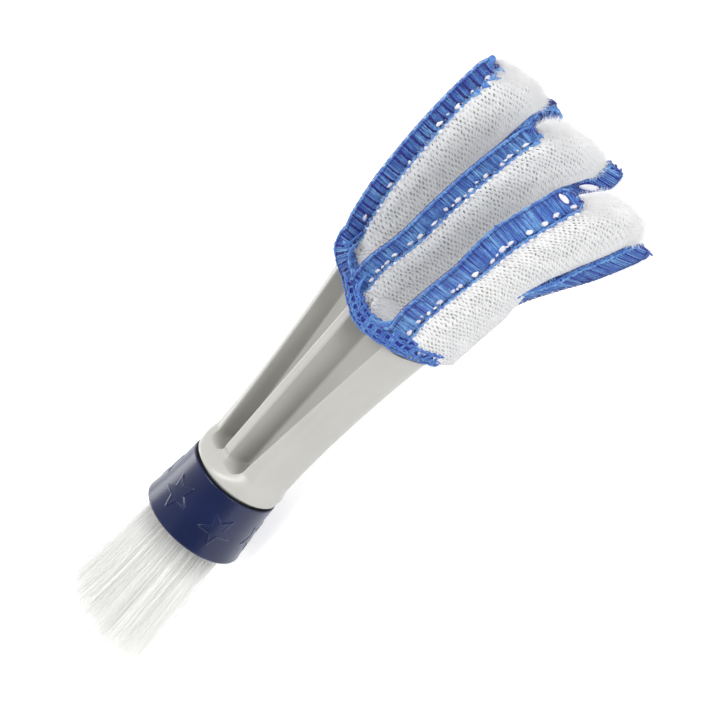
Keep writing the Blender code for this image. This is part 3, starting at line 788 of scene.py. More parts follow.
def finger_tip(side, up):
    """Where the cloth folds over at the tip: up runs from -1 at the back to 1 at the front."""
    return (TIP_REACH[side] + TIP_BULGE[side] * (1 - up ** 2)
            - FRONT_CORNER[side] * np.maximum(up, 0) ** 3
            - BACK_CORNER[side] * np.maximum(-up, 0) ** 3)


def hem_at(y):
    """Place of the hem along the axis: it dips towards the collar over the middle plate."""
    return 53.7 + 3.9 * (1 - np.exp(-((y + 5.0) / 9.5) ** 2))


def ripples(a, b, seed):
    """Gentle unevenness from -1 to 1 over two coordinates in mm, from a few crossing waves."""
    turn = np.random.default_rng(seed).random(10) * math.tau
    waves = [(0.35 + 0.17 * k, turn[k], turn[k + 5]) for k in range(5)]
    return sum(np.sin(a * rate * math.cos(way) + b * rate * math.sin(way) + start)
               for rate, way, start in waves) / 5


# %% [markdown]
# ## Pockets
# The cloth lies tight over the prong, so no simulation is needed: the rolled surface has a lens
# for its section, closed over a soft fold at the tip, with a gentle unevenness. Solidify gives it
# the cloth's thickness towards the inside.

# %% Roll a pocket
def pocket_surface(side, along, around):
    """Places on a pocket's outer face; along and around run from 0 to 1."""
    across, up = power_point(math.tau * around, 2.6)
    tip = finger_tip(side, up)
    first = hem_at(finger_centre(56.0, side)) - 0.5
    x = first + (tip - first) * along
    under_band = 2 * BAND_HALF_WIDTH[side] - 0.6
    reach = np.where(up > 0, finger_front(x, side) - under_band,
                     finger_back(x, side) - under_band * ease((x - 70) / 18))
    past = np.maximum(x - (tip - 3.0), 0.0) / 3.0
    half = prong_thickness(x, side != 0) / 2 + 1.85
    half = half * np.sqrt(np.maximum(1.0 - past ** 2, 0.003))
    half = half * (1 + 0.10 * ripples(x, up * 14, 11 + side))
    return on_finger(x, cloth_middle(x, side) + half * across, up * reach)


at_tip = 0.94 + 0.06 * np.sin(np.linspace(0, math.pi / 2, 20)[1:])
along = np.concatenate([np.linspace(0, 0.94, 110), at_tip])[:, None]
around = np.linspace(0, 1, 169)[None, :]
pockets = {}
for side, name in NAMES.items():
    pocket = pockets[name] = rolled(name + "_knitted_pocket", pocket_surface(side, along, around))
    close_up(pocket, caps=False)
    modify(pocket, "SOLIDIFY", thickness=CLOTH, offset=-1.0)
    smooth(pocket)

# %% [markdown]
# Between two fingers the cloth runs across in a saddle, as the web of a glove does. It starts on
# one finger, dips towards the collar and climbs the next finger. Its front and back edges go under
# the hem.

# %% Webs between the fingers
webs = {}
for side in (1, -1):
    share = np.linspace(-1, 1, 33)[:, None]
    up = np.linspace(-1, 1, 49)[None, :]
    near, far = 2.4, inner_face(56.0) - 0.9
    y = (near + far) / 2 + (far - near) / 2 * share
    top = 9.6 - 5.0 * np.maximum(share, 0) ** 1.5 - 2.0 * np.maximum(-share, 0) ** 2
    z = np.where(up > 0, top, 9.8) * up
    x = (hem_at(side * y) + 0.6 + 3.6 * share ** 2 + 0.9 * (1 - up ** 2) * (1 - share ** 2)
         - 1.1 * np.abs(up) ** 3)
    web = webs[NAMES[side]] = rolled(NAMES[side] + "_web",
                                     np.stack(np.broadcast_arrays(x, side * y, z), axis=-1))
    modify(web, "SOLIDIFY", thickness=CLOTH, offset=0.0)
    smooth(web)

# %% [markdown]
# Warp-knitted microfibre has rows of tiny stitch gaps, a little over a millimetre apart, between
# which the loops stand up as soft ribs. A Voronoi pattern with little randomness gives the places,
# in the cloth's own UV map, which is in millimetres, and the distance from a place, squeezed and
# turned, makes a short slanting stroke there. The strokes are crisp where the cloth is stretched
# along the front edge, soft in the middle, and lost lower down and in the fluff at the tip. Light
# and shade are partly painted into the colour: the ribs beside the strokes get a painted highlight,
# and the cloth is painted lighter towards the front edge and greyer lower down. White cloth passes
# light on from finger to finger far more often than is computed here, so a faint glow, painted
# light, stands in for that: a little everywhere but the tip, and most where the fingers face each
# other.

# %% Warp-knitted microfibre: the places of the stitch gaps
PITCH_ALONG, PITCH_ROUND = 1.08, 1.18
knit, tree, shader = new_material("warp_knitted_microfibre")
where = add_node(tree, "UVMap", uv_map="UVMap")
wobble = add_node(tree, "TexNoise", {"Vector": where, "Scale": 0.3, "Detail": 2.0})
shift = add_node(tree, "VectorMath", {0: wobble.outputs["Color"], "Scale": 1.3}, operation="SCALE")
moved = add_node(tree, "VectorMath", {0: where, 1: shift}, operation="ADD")
cells = add_node(tree, "Mapping", {"Vector": moved,
                                   "Scale": (1 / PITCH_ALONG, 1 / PITCH_ROUND, 1.0)})
stitch = add_node(tree, "TexVoronoi", {"Vector": cells, "Scale": 1.0, "Randomness": 0.22},
                  voronoi_dimensions="2D").outputs
off = add_node(tree, "VectorMath", {0: cells, 1: stitch["Position"]}, operation="SUBTRACT")
slant = add_node(tree, "Mapping", {"Vector": off, "Rotation": (0, 0, 2.0),
                                   "Scale": (0.5, 0.155, 1.0)}, vector_type="TEXTURE")
near = add_node(tree, "VectorMath", {0: slant}, operation="LENGTH").outputs["Value"]
each = add_node(tree, "SeparateColor", {"Color": stitch["Color"]})

# %% Where the gaps are crisp, soft or lost
front = add_node(tree, "Attribute", attribute_name="towards_front").outputs["Fac"]
length = add_node(tree, "Attribute", attribute_name="along").outputs["Fac"]
crisp = add_node(tree, "MapRange", {"Value": front, "From Min": 0.35, "From Max": 0.8})
soft_from = add_node(tree, "MapRange", {"Value": crisp, "To Min": 0.15, "To Max": 0.62})
soft_to = add_node(tree, "MapRange", {"Value": crisp, "To Min": 1.9, "To Max": 1.15})
dark = add_node(tree, "MapRange", {"Value": near, "From Min": soft_from, "From Max": soft_to,
                                   "To Min": 1.0, "To Max": 0.0}, interpolation_type="SMOOTHSTEP")
lower = add_node(tree, "MapRange", {"Value": front, "From Min": -0.75, "From Max": 0.15,
                                    "To Min": 0.3, "To Max": 1.0}, interpolation_type="SMOOTHSTEP")
tip = add_node(tree, "MapRange", {"Value": length, "From Min": 0.945, "From Max": 0.985,
                                  "To Min": 1.0, "To Max": 0.0}, interpolation_type="SMOOTHSTEP")
patchy = add_node(tree, "TexNoise", {"Vector": where, "Scale": 0.18, "Detail": 2.0})
luck = add_node(tree, "Math", {0: each, 1: patchy}, operation="MULTIPLY")
strong = add_node(tree, "MapRange", {"Value": luck, "From Min": 0.04, "From Max": 0.34,
                                     "To Min": 0.45, "To Max": 1.0})
for factor in (lower, tip, strong):
    dark = add_node(tree, "Math", {0: dark, 1: factor}, operation="MULTIPLY")

# %% Colour, glow and relief of the cloth
cloud = add_node(tree, "TexNoise", {"Vector": where, "Scale": 0.25, "Detail": 3.0})
# Painted light and shade: the cloth's colour is lighter towards the front edge and greyer lower
# down.
slope = add_node(tree, "MapRange", {"Value": front, "From Min": -0.5, "From Max": 0.85,
                                    "To Min": -0.22, "To Max": 0.3})
tint = add_node(tree, "Math", {0: cloud, 1: slope}, operation="ADD")
white = add_node(tree, "ValToRGB", {"Fac": tint}, stops=((0.25, "#E2E2E6"), (0.75, "#F8F8F6")))
# Painted highlight: the cloth between the strokes is mixed towards white, as light catching the
# ribs.
rib = add_node(tree, "MapRange", {"Value": near, "From Min": 1.4, "From Max": 3.6,
                                  "To Min": 0.75, "To Max": 0.0}, interpolation_type="SMOOTHSTEP")
lit = add_node(tree, "Mix", {"Factor": rib, 6: white, 7: linear("#FFFFFF")}, data_type="RGBA")
hole = add_node(tree, "Mix", {"Factor": crisp, 6: linear("#6B6B67"), 7: linear("#33312D")},
                data_type="RGBA")
colour = add_node(tree, "Mix", {"Factor": dark, 6: lit.outputs[2], 7: hole.outputs[2]},
                  data_type="RGBA").outputs[2]
# Painted light: a glow in the cloth's own colour, strongest where ambient occlusion finds the
# fingers close.
sky = add_node(tree, "AmbientOcclusion", {"Distance": 0.012}, samples=6).outputs["AO"]
glow = add_node(tree, "MapRange", {"Value": sky, "From Min": 0.3, "From Max": 0.95,
                                   "To Min": 0.14, "To Max": 0.085})
glow = add_node(tree, "Math", {0: glow, 1: tip}, operation="MULTIPLY")
dips = add_node(tree, "MapRange", {"Value": near, "From Min": 0.1, "From Max": 2.2,
                                   "To Min": -0.9, "To Max": 0.0}, interpolation_type="SMOOTHSTEP")
dips = add_node(tree, "Math", {0: dips, 1: tip}, operation="MULTIPLY")
fuzz = add_node(tree, "TexNoise", {"Vector": where, "Scale": 3.2, "Detail": 4.0,
                                   "Roughness": 0.7})
height = add_node(tree, "Math", {0: fuzz, 1: dips}, operation="ADD")
relief = add_node(tree, "Bump", {"Height": height, "Strength": 0.9, "Distance": 0.0004})
plug(shader, {"Base Color": colour, "Emission Color": colour, "Emission Strength": glow,
              "Normal": relief, "Roughness": 0.92, "Specular IOR Level": 0.2,
              "Sheen Weight": 0.25, "Sheen Roughness": 0.6})
for name, pocket in pockets.items():
    finish(pocket, "cover", "white_knit", knit, name + "_pocket")
for web in webs.values():
    finish(web, "cover", "white_knit", knit)

# %% [markdown]
# ## Pile
# Where the cloth folds over at a tip it is brushed and fluffy. Thousands of short fibres stand on
# it there, and fewer along the rest of the pocket. One fibre is a tiny cone with one cut.

# %% One fibre, as a template, and a pocket's pile
TIP_FIBRES, BODY_FIBRES, FIBRE_RADIUS = 9000, 4500, 0.045
bpy.ops.object.select_all(action="DESELECT")
bpy.ops.mesh.primitive_cone_add(vertices=3, radius1=1, radius2=0.3, depth=1, location=(0, 0, 0.5))
fibre = bpy.context.active_object
bpy.ops.object.transform_apply(location=True)
edit_all(fibre)
bpy.ops.mesh.bisect(plane_co=(0, 0, 0.5), plane_no=(0, 0, 1))
bpy.ops.object.mode_set(mode="OBJECT")
fibre_corners, fibre_faces = template_shape(fibre)


def unit(vectors):
    """Vectors of length 1."""
    return vectors / (np.linalg.norm(vectors, axis=-1, keepdims=True) + 1e-9)


def pile(name, side, seed):
    """Fibres on a pocket: thick at the tip, thin elsewhere."""
    chance = np.random.default_rng(seed)
    count = TIP_FIBRES + BODY_FIBRES
    along = np.concatenate([1 - 0.07 * chance.random(TIP_FIBRES) ** 1.2,
                            0.06 + 0.9 * chance.random(BODY_FIBRES)])
    around = chance.random(count)
    root = pocket_surface(side, along, around)
    step = 0.002
    du = (pocket_surface(side, np.minimum(along + step, 1.0), around)
          - pocket_surface(side, along - step, around))
    dv = pocket_surface(side, along, around + step) - pocket_surface(side, along, around - step)
    normal = unit(np.cross(dv, du))
    inwards = normal[:, 1] * (root[:, 1] - finger_centre(root[:, 0], side)) < 0
    normal *= np.where(inwards[:, None], -1, 1)
    normal[:, 0] = np.where(along > 0.985, np.abs(normal[:, 0]), normal[:, 0])
    fluffy = ease((along - 0.93) / 0.05)
    long = ((0.4 + 0.95 * fluffy) * (0.5 + chance.random(count)))[:, None, None]
    way = unit(normal + chance.normal(0, 0.5, normal.shape)
               + (0.15 + 0.45 * fluffy)[:, None] * [1, 0, 0])
    hang = chance.normal(0, 0.25, normal.shape)
    x, y, t = (fibre_corners[:, k][None, :, None] for k in range(3))
    side_way = unit(np.cross(way, [0.0, 0.3, 1.0]))
    other_way = np.cross(way, side_way)
    placed = (root[:, None] - 0.1 * normal[:, None]
              + long * (way[:, None] * t + hang[:, None] * t * t)
              + FIBRE_RADIUS * (x * side_way[:, None] + y * other_way[:, None]))
    return set_copies(name, fibre_faces, placed, 0.4 + 0.6 * chance.random(count))


# %% Brushed microfibre, and what each sheet of cloth is
microfibre, tree, shader = new_material("brushed_microfibre")
shade = add_node(tree, "Attribute", attribute_name="shade").outputs["Fac"]
# Painted shade: the lilac-grey low stop is for the pads of cloth among the loops; the pile's fibres
# stay near white.
tone = add_node(tree, "ValToRGB", {"Fac": shade}, stops=((0.0, "#D6D3E2"), (0.5, "#FFFFFF")))
plug(shader, {"Base Color": tone, "Roughness": 0.9, "Specular IOR Level": 0.2})
for side, name in NAMES.items():
    fluff = pile(name + "_pile", side, 30 + side)
    finish(fluff, "cover", "white_knit", microfibre)

# %% [markdown]
# ## Overlocked seams
# An overlock stitch wraps the cut edge of the cloth in loops of yarn. The machine feeds the cloth
# in steps, so the loops lie in groups, and in the gaps between groups the white cloth swells out
# near the band's inner side, and near its outer side the gaps lie in shade, which is painted there
# with dark yarn. All of it follows one spine: a line of frames, each with its centre, the direction
# across the band and the one out of its face. The band is thicker on its inner side, where the
# cloth swells under it.

# %% A spine, and places on the band around it
CENTRE, ACROSS, OUT, HALF_WIDTH, HALF_DEPTH = slice(0, 3), slice(3, 6), slice(6, 9), 9, 10
CORE_SHARE, BAND_POWER = 0.86, 3.0


def spine(centre, across, out, half_width, half_depth, wedge=0.0):
    """Gather the frames of a band, with the length run so far."""
    run = np.append(0, np.cumsum(np.linalg.norm(np.diff(centre, axis=0), axis=1)))
    out = unit(out - across * (out * across).sum(1, keepdims=True))
    sizes = [np.broadcast_to(size, run.shape) for size in (half_width, half_depth)]
    return {"run": run, "rows": np.column_stack([centre, across, out] + sizes), "wedge": wedge}


def half_sizes(band, run):
    """Half width and half thickness of a band."""
    return [np.interp(run, band["run"], band["rows"][:, k]) for k in (HALF_WIDTH, HALF_DEPTH)]


def on_band(band, run, across, out):
    """Places beside a spine: across and out are shares of the band's half width and thickness."""
    run, across, out = np.broadcast_arrays(run, across, out)
    rows = np.stack([np.interp(run, band["run"], column) for column in band["rows"].T], axis=-1)
    wide = (rows[..., HALF_WIDTH] * across)[..., None]
    deep = (rows[..., HALF_DEPTH] * (1 - band["wedge"] * across) * out)[..., None]
    return rows[..., CENTRE] + rows[..., ACROSS] * wide + rows[..., OUT] * deep


def band_core(name, band, closed=False):
    """The cloth's cut edge under the yarn: a rounded bar."""
    length = band["run"][-1]
    run = np.linspace(0, length, max(int(length / 0.5), 8))[:, None]
    across, out = power_point(np.linspace(0, math.tau, 25)[None, :], BAND_POWER)
    core = rolled(name, on_band(band, run, across * CORE_SHARE, out * CORE_SHARE))
    close_up(core, caps=not closed)
    return core


def feed(length, seed, group, pitch, gap):
    """Where the loops of a band lie: their places, how far into its group each is, and the gaps."""
    chance = np.random.default_rng(seed)
    places, into, gaps, at = [], [], [], 0.3
    while at < length - 0.3:
        many = max(group + int(chance.integers(-1, 2)), 1)
        for k in range(many):
            if at < length - 0.3:
                places.append(at)
                into.append((k + 0.5) / many)
                at += pitch * (0.88 + 0.24 * chance.random())
        step = gap * (0.75 + 0.5 * chance.random())
        gaps.append(at - pitch / 2 + step / 2)
        at += step
    return np.array(places), np.array(into), np.array(gaps)


# %% [markdown]
# One loop of yarn is a torus with few faces. Its two angles say where each corner goes: the big
# one runs round the band, the small one round the yarn. A yarn that lies along the band is rolled
# round a line instead, and a wave across it makes it a strand of a chain.

# %% Loops and strands of yarn
LOOP_YARN, PLY_PITCH, PLY_SWELL = 0.155, 1.05, 0.24
bpy.ops.object.select_all(action="DESELECT")
bpy.ops.mesh.primitive_torus_add(major_segments=18, minor_segments=5, major_radius=1,
                                 minor_radius=0.25)
loop_corners, loop_faces = template_shape(bpy.context.active_object)
ROUND_BAND = np.arctan2(loop_corners[:, 1], loop_corners[:, 0])[None, :]
ROUND_YARN = np.arctan2(loop_corners[:, 2],
                        np.hypot(loop_corners[:, 0], loop_corners[:, 1]) - 1)[None, :]


def yarn_loops(name, band, places, into, seed, yarn=LOOP_YARN):
    """Loops round a band, which swell a little in the middle of each group."""
    chance = np.random.default_rng(seed)
    patch = 0.5 + 0.5 * ripples(places * 4, 0, seed)
    places, into = places[:, None], into[:, None]
    count = len(places)
    across, out = power_point(ROUND_BAND, BAND_POWER)
    thick = yarn * (0.85 + 0.35 * chance.random((count, 1)))
    swell = (0.99 + 0.035 * chance.normal(0, 1, (count, 1))
             + 0.07 * np.sin(math.pi * into) * (across > 0))
    lean = 0.4 * across * np.tanh(3 * out) * (0.6 + 0.8 * chance.random((count, 1)))
    run = np.clip(places + lean + thick * np.sin(ROUND_YARN), 0, band["run"][-1])
    wide, deep = half_sizes(band, places)
    lift = thick * np.cos(ROUND_YARN) / np.hypot(across, out)
    placed = on_band(band, run, across * (0.94 * swell + lift / wide),
                     out * (0.94 + lift / deep))
    shades = 0.1 + 0.35 * patch + 0.65 * chance.random(count)
    return set_copies(name, loop_faces, placed, np.clip(shades, 0, 1))


def strand(points, radius, shade, sides=7):
    """A yarn along a line of places, (count, 3), with a radius for each place."""
    way = unit(np.gradient(points, axis=0))
    first = unit(np.cross(way, [0.2, 0.3, 1.0]))
    second = np.cross(way, first)
    turn = np.linspace(0, math.tau, sides + 1)[None, :, None]
    radius = np.broadcast_to(radius, len(points))[:, None, None]
    piece = rolled("strand", points[:, None] + radius * (np.cos(turn) * first[:, None]
                                                         + np.sin(turn) * second[:, None]))
    close_up(piece)
    value = piece.data.attributes.new("shade", "FLOAT", "POINT")
    value.data.foreach_set("value", np.full(len(piece.data.vertices), float(shade)))
    return piece


def cord_along(band, across, out, radius, wave, pitch, phase=0.0, shade=0.5, start=0.0):
    """A yarn that runs along the band, waves across it and swells where its plies turn."""
    length = band["run"][-1]
    run = np.linspace(start * length, length, max(int(length * (1 - start) / 0.18), 8))
    swing = math.tau * run / pitch + phase
    wide, deep = half_sizes(band, run)
    points = on_band(band, run, across + wave * np.sin(swing) / wide,
                     out + 0.12 * np.cos(2 * swing) / deep)
    plies = 1 + PLY_SWELL * np.sin(math.tau * run / PLY_PITCH + phase)
    return strand(points, radius * plies, shade)


# %% [markdown]
# Polyester yarn is bright where the light catches it and almost violet in the gaps, and here that
# light and shade is painted into the colour: each loop's shade picks its place between them, and
# flecks of about a third of a millimetre show that it is spun of several plies.

# %% Spun polyester yarn
def yarn_material(name, low, middle, high):
    """Yarn between three blues."""
    material, tree, shader = new_material(name)
    place = add_node(tree, "TexCoord").outputs["Object"]
    shade = add_node(tree, "Attribute", attribute_name="shade").outputs["Fac"]
    blotch = add_node(tree, "TexNoise", {"Vector": place, "Scale": 420.0, "Detail": 2.0})
    fleck = add_node(tree, "TexNoise", {"Vector": place, "Scale": 2700.0, "Detail": 3.0,
                                        "Roughness": 0.7})
    mixed = add_node(tree, "Math", {0: fleck, 1: 1.5, 2: blotch}, operation="MULTIPLY_ADD")
    mixed = add_node(tree, "Math", {0: shade, 1: mixed}, operation="ADD")
    level = add_node(tree, "MapRange", {"Value": mixed, "From Min": 1.2, "From Max": 2.4})
    tone = add_node(tree, "ValToRGB", {"Fac": level}, stops=((0, low), (1, high), (0.48, middle)))
    relief = add_node(tree, "Bump", {"Height": fleck, "Strength": 0.7, "Distance": 0.00015})
    plug(shader, {"Base Color": tone, "Normal": relief, "Roughness": 0.6, "Sheen Weight": 0.25,
                  "Sheen Roughness": 0.4})
    return material


yarn = yarn_material("spun_polyester_yarn_blue", "#2A41A4", "#4878C4", "#88C0EC")
# Painted shade: the core under the loops, which shows in the gaps, is coloured as yarn in shadow.
core_yarn_painted_shade = yarn_material("spun_polyester_yarn_painted_shadow", "#1F2A8A", "#3042A4", "#4661BA")
# Painted shade: the dark strands, slits and squares stand for shadow; only some frayed ends are
# navy yarn.
navy_and_painted_shade_yarn = yarn_material("spun_polyester_yarn_navy_and_painted_shade", "#101758", "#1E2A84", "#3448A6")

# %% [markdown]
# The white cloth that swells out of a gap is a small oval pad, longer along the seam than across
# it, and its lilac-grey tone is painted shade. Between two large ones there is often a small one.
# A short dark strand at the end of each, and others in the gaps, are painted shade too: dark yarn
# set where the loops cast their shadow.

# %% White pads and dark strands in the gaps
PAD_HALF_LENGTH, PAD_HALF_HEIGHT, PAD_AT, LUMPS = 0.75, 0.5, -0.45, 0.16
bpy.ops.object.select_all(action="DESELECT")
bpy.ops.mesh.primitive_uv_sphere_add(segments=10, ring_count=6, radius=1)
pad_corners, pad_faces = template_shape(bpy.context.active_object)


def ovals(band, runs, across, long, tall, lift, seed, faces_out=(1, -1)):
    """Flat, lumpy ovals on a band's faces; the sizes are half sizes in mm, for all or for each."""
    chance = np.random.default_rng(seed)
    placed = []
    for face in faces_out:
        for run, at, half_long, half_tall in zip(*np.broadcast_arrays(runs, across, long, tall)):
            wide, deep = half_sizes(band, run)
            deep = deep * (1 - band["wedge"] * at)
            tilt = chance.normal(0, 0.15)
            lumps = pad_corners * (1 + LUMPS * chance.normal(0, 1, (len(pad_corners), 1)))
            placed.append(on_band(band, run + half_long * lumps[:, 0],
                                  at + half_tall * (lumps[:, 1] + tilt * lumps[:, 0]) / wide,
                                  face * (1.0 + lift * lumps[:, 2] / deep)))
    # Low shades from 0 to 0.4: on the white pads this gives their lilac-grey, which is painted
    # shade.
    return set_copies("ovals", pad_faces, np.array(placed), 0.4 * chance.random(len(placed)))


def gap_pads(band, gaps, seed, step, first):
    """Pads of cloth along a band, and dark strands of painted shade: beside each pad, and in the
    gaps.
    """
    chance = np.random.default_rng(seed)
    runs, at_run = [], first + 2 * chance.random()
    while at_run < band["run"][-1] - 1.2:
        runs.append(at_run)
        at_run += step * (0.6 + 0.8 * chance.random())
    runs = np.array(runs)
    small = runs[:-1] + np.diff(runs) / 2
    small = small[chance.random(len(small)) < 0.35]
    every = np.concatenate([runs, small])
    large = np.arange(len(every)) < len(runs)
    long = np.where(large, PAD_HALF_LENGTH, 0.4) * (0.75 + 0.5 * chance.random(len(every)))
    tall = np.where(large, PAD_HALF_HEIGHT, 0.28) * (0.75 + 0.5 * chance.random(len(every)))
    across = PAD_AT + 0.07 * chance.normal(0, 1, len(every))
    cloth = ovals(band, every, across, long, tall, lift=0.16, seed=seed)
    gaps = gaps[chance.random(len(gaps)) < 0.6]
    beside = runs + long[:len(runs)] + 0.1
    # Painted shade: dark strands beside each pad and in some of the gaps.
    dark = [np.concatenate(pair) for pair in (
        (beside, gaps), (across[:len(runs)] - 0.3, 0.6 + 0 * gaps),
        (0.55 + 0 * beside, 0.08 + 0 * gaps),
        (0.13 + 0 * beside, 0.35 + 0.5 * chance.random(len(gaps))))]
    return cloth, ovals(band, *dark, lift=0.2, seed=seed)


# %% [markdown]
# A finger's seam starts under the hem and follows the edge of its pocket to the tip. The left
# finger's front seam starts on top of the hem and turns up from it in one bend, as if the hem went
# on, and its back seam runs on past the cloth and curls down. The others end square and frayed.
# The right finger's front seam leans back towards its tip. On the back, a seam is drawn in under
# the cloth near the hem, and comes forward and twists into view further on. A seam never goes
# through the table.

# %% Spine of a finger's seam
BAND_HALF_DEPTH = {1: 1.05, 0: 1.05, -1: 1.2}
STOPS_SHORT = {(1, 1): 0.3, (0, 1): 2.4, (-1, 1): 0.5, (1, -1): 3.4, (0, -1): -2.0, (-1, -1): 1.6}
BACK_TWIST = {1: 0.0, 0: 0.6, -1: 0.3}
BEND_END, FRONT_LEAN, TAIL_LENGTH, TAIL_CURL = 62.0, 0.55, 8.0, 2.9


def forward_of_cloth(x, side):
    """How far a back seam stands out beside its cloth, towards the right."""
    return 1.5 if side < 0 else 0.5 + (1.6 * ease((x - 100) / 8) if side == 0 else 0.0)


def bend_from_hem(last, up):
    """The left front seam on its way up from the hem: centres, ways across and out, slimness."""
    t = np.linspace(0, 1, 41)[:-1, None]
    start, by_hem = np.array([hem_at(4.0), 4.0, 10.3]), np.array([hem_at(9.0), 9.8, 11.0])
    by_finger = np.array([57.9, last[1] + 0.1, last[2] + 0.4])
    line = (start * (1 - t) ** 3 + by_hem * 3 * t * (1 - t) ** 2 + by_finger * 3 * t ** 2 * (1 - t)
            + last * t ** 3)
    way = unit(np.gradient(np.vstack([line, last]), axis=0)[:-1])
    side_way = np.array([-1.0, 0.0, 0.0]) * (1 - ease(t)) + up * ease(t)
    side_way = side_way - way * (side_way * way).sum(1, keepdims=True)
    return line, side_way, np.cross(way, side_way), 0.8 + 0.2 * ease(t[:, 0])


def curled_tail(tip, way, out):
    """The left back seam's tail beyond the cloth: centres and ways across."""
    turn = TAIL_CURL * np.minimum(np.linspace(0, 1, 31)[1:, None] / 0.6, 1)
    steps = np.cos(turn) * unit(way) + np.sin(turn) * np.array([0.0, -0.45, -0.89])
    side_way = np.cross(steps, out)
    return tip + TAIL_LENGTH / 30 * np.cumsum(steps, axis=0), side_way * np.sign(side_way[0, 2])


def seam_spine(side, face):
    """Spine of a seam on a finger's front (1) or back (-1) edge."""
    bends, curls = (side, face) == (1, 1), (side, face) == (1, -1)
    half_width = BAND_HALF_WIDTH[side]
    first = hem_at(finger_centre(56.0, side)) + (2.0 if face > 0 else -0.6)
    x = np.linspace(BEND_END if bends else first,
                    finger_tip(side, 0.9 * face) - STOPS_SHORT[side, face], 150)
    flat = 0 * x
    if face > 0:
        edge, hidden, forward, twist = finger_front(x, side), flat, flat, flat
        lean = FRONT_LEAN * ease((x - 78) / 15) if side < 0 else flat
    else:
        edge, hidden = finger_back(x, side), 1 - ease((x - 72) / 18)
        forward = forward_of_cloth(x, side) * (1 - hidden)
        lean, twist = flat, BACK_TWIST[side] * ease((x - 86) / 8)
    y = cloth_middle(x, side) + 0.4 * hidden - forward + half_width * np.sin(lean)
    z = face * (edge - half_width) + 0.9 * hidden - half_width * (1 - np.cos(lean))
    centre = on_finger(x, y, z)
    table = -TABLE_UNDER - TABLE_SLOPE * centre[:, 0]
    centre[:, 2] = np.maximum(centre[:, 2], table + 0.8 * half_width)
    up = on_finger(x, flat, 1.0 + flat) - on_finger(x, flat, flat)
    up[:, 1] = np.tan(lean) + twist
    out = np.tile([0.0, -1.0, 0.0], (len(x), 1))
    slim, tail = 1 + flat, flat
    if bends:
        line, side_way, outwards, slimness = bend_from_hem(centre[0], up[0])
        centre, up = np.vstack([line, centre]), np.vstack([side_way, up])
        out, tail = np.vstack([outwards, out]), np.append(0 * slimness, tail)
        slim = np.append(slimness, slim)
    if curls:
        line, side_way = curled_tail(centre[-1], centre[-1] - centre[-2], out[0])
        centre, up = np.vstack([centre, line]), np.vstack([up, side_way])
        out, tail = np.tile(out[0], (len(centre), 1)), np.append(tail, np.linspace(0, 1, 31)[1:])
        slim, fine = np.ones(len(centre)), 1.0
    else:
        fine = np.clip((centre[:, 0].max() - centre[:, 0]) / 1.5, 0, 1)
    wide = half_width * slim * (1 - 0.35 * tail ** 1.5) * (0.7 + 0.3 * fine)
    deep = BAND_HALF_DEPTH[side] * (1 - 0.4 * tail) * (0.7 + 0.3 * fine)
    return spine(centre, face * unit(up), out, wide, deep, wedge=0.55)


# %% [markdown]
# At the end of a band the cut yarn frays: a few short ends curl on themselves. Beside the ends of
# two front seams, points of yarn reach out over the cloth like teeth.

# %% Frayed ends and teeth
def frayed_end(band, seed):
    """Cut ends of yarn at the end of a band, curled on themselves: some blue, some navy."""
    chance = np.random.default_rng(seed)
    last, t = band["run"][-1], np.linspace(0, 1, 9)[:, None]
    bright, dark = [], []
    for k in range(8):
        a, o = chance.uniform(-0.7, 0.8), chance.uniform(-0.3, 0.9)
        root = on_band(band, last - 0.8, a, o)
        way = unit(on_band(band, last, a, o) - on_band(band, last - 0.5, a, o))
        way = way + chance.normal(0, 0.3, 3)
        bend = np.cross(way, chance.normal(0, 1, 3))
        reach = 0.75 + 0.45 * chance.random()
        points = root + reach * (way * np.sin(2.2 * t) / 1.6 + 0.45 * bend * (1 - np.cos(2.2 * t)))
        points[:, 2] = np.maximum(points[:, 2], -TABLE_UNDER - TABLE_SLOPE * points[:, 0])
        end = strand(points, np.linspace(0.34, 0.2, 9), 0.2 + 0.7 * chance.random())
        (dark if k % 3 == 0 else bright).append(end)
    return bright, dark


def teeth(band, seed, from_end, reach):
    """Points of yarn that reach from a band's inner edge over the cloth, near its end."""
    chance = np.random.default_rng(seed)
    t, made = np.linspace(0, 1, 7), []
    for back, long in zip(from_end, reach):
        for o in (0.9, 1.15):
            run = band["run"][-1] - back + 1.4 * t + chance.normal(0, 0.15)
            across = -0.75 - long * t / half_sizes(band, run[0])[0]
            made.append(strand(on_band(band, run, across, o), 0.55 - 0.42 * t,
                               0.4 + 0.5 * chance.random()))
    return made


# %% [markdown]
# How densely each band is sewn was counted on the photograph: the left finger's is a ladder with
# open squares, which are painted dark as shade, and the right finger's is almost closed. Some
# places have more of their own. The curled tail has dark slits beside it, painted shadow where it
# stands off the cloth, the left finger's front seam ends in a knob, and the cloth shows through an
# opening near the end of two bands.

# %% Sew the six seams
STITCH = {(1, 1): (4, 0.4, 0.5), (0, 1): (6, 0.35, 0.14), (-1, 1): (6, 0.36, 0.16)}
BACK_STITCH = (4, 0.46, 0.25)
PAD_STEPS = {(1, 1): (8.0, 18.0), (0, 1): (3.5, 1.5), (-1, 1): (3.5, 1.5)}
TEETH = {(1, 1): ((0.6, 3.0, 5.6, 8.2), (2.6, 2.1, 1.6, 1.2)), (0, 1): ((0.2, 2.4), (1.2, 1.0))}
FIRST_BUMP, BUMP_HEIGHT = {1: 16.0, 0: 1.0, -1: 1.0}, {1: 0.62, 0: 0.4, -1: 0.4}
SLITS = ((6.7, 4.9, -1.16, 0.0, 0.66), (9.8, 9.4, -1.1, 0.7, 0.3), (9.0, 8.8, -1.05, 0.6, 0.26))
OPENINGS = {(0, -1): (8.0, 0.15, 2.1, 1.5), (-1, 1): (2.1, 0.36, 0.75, 1.5)}
white_parts, dark_parts = [], []


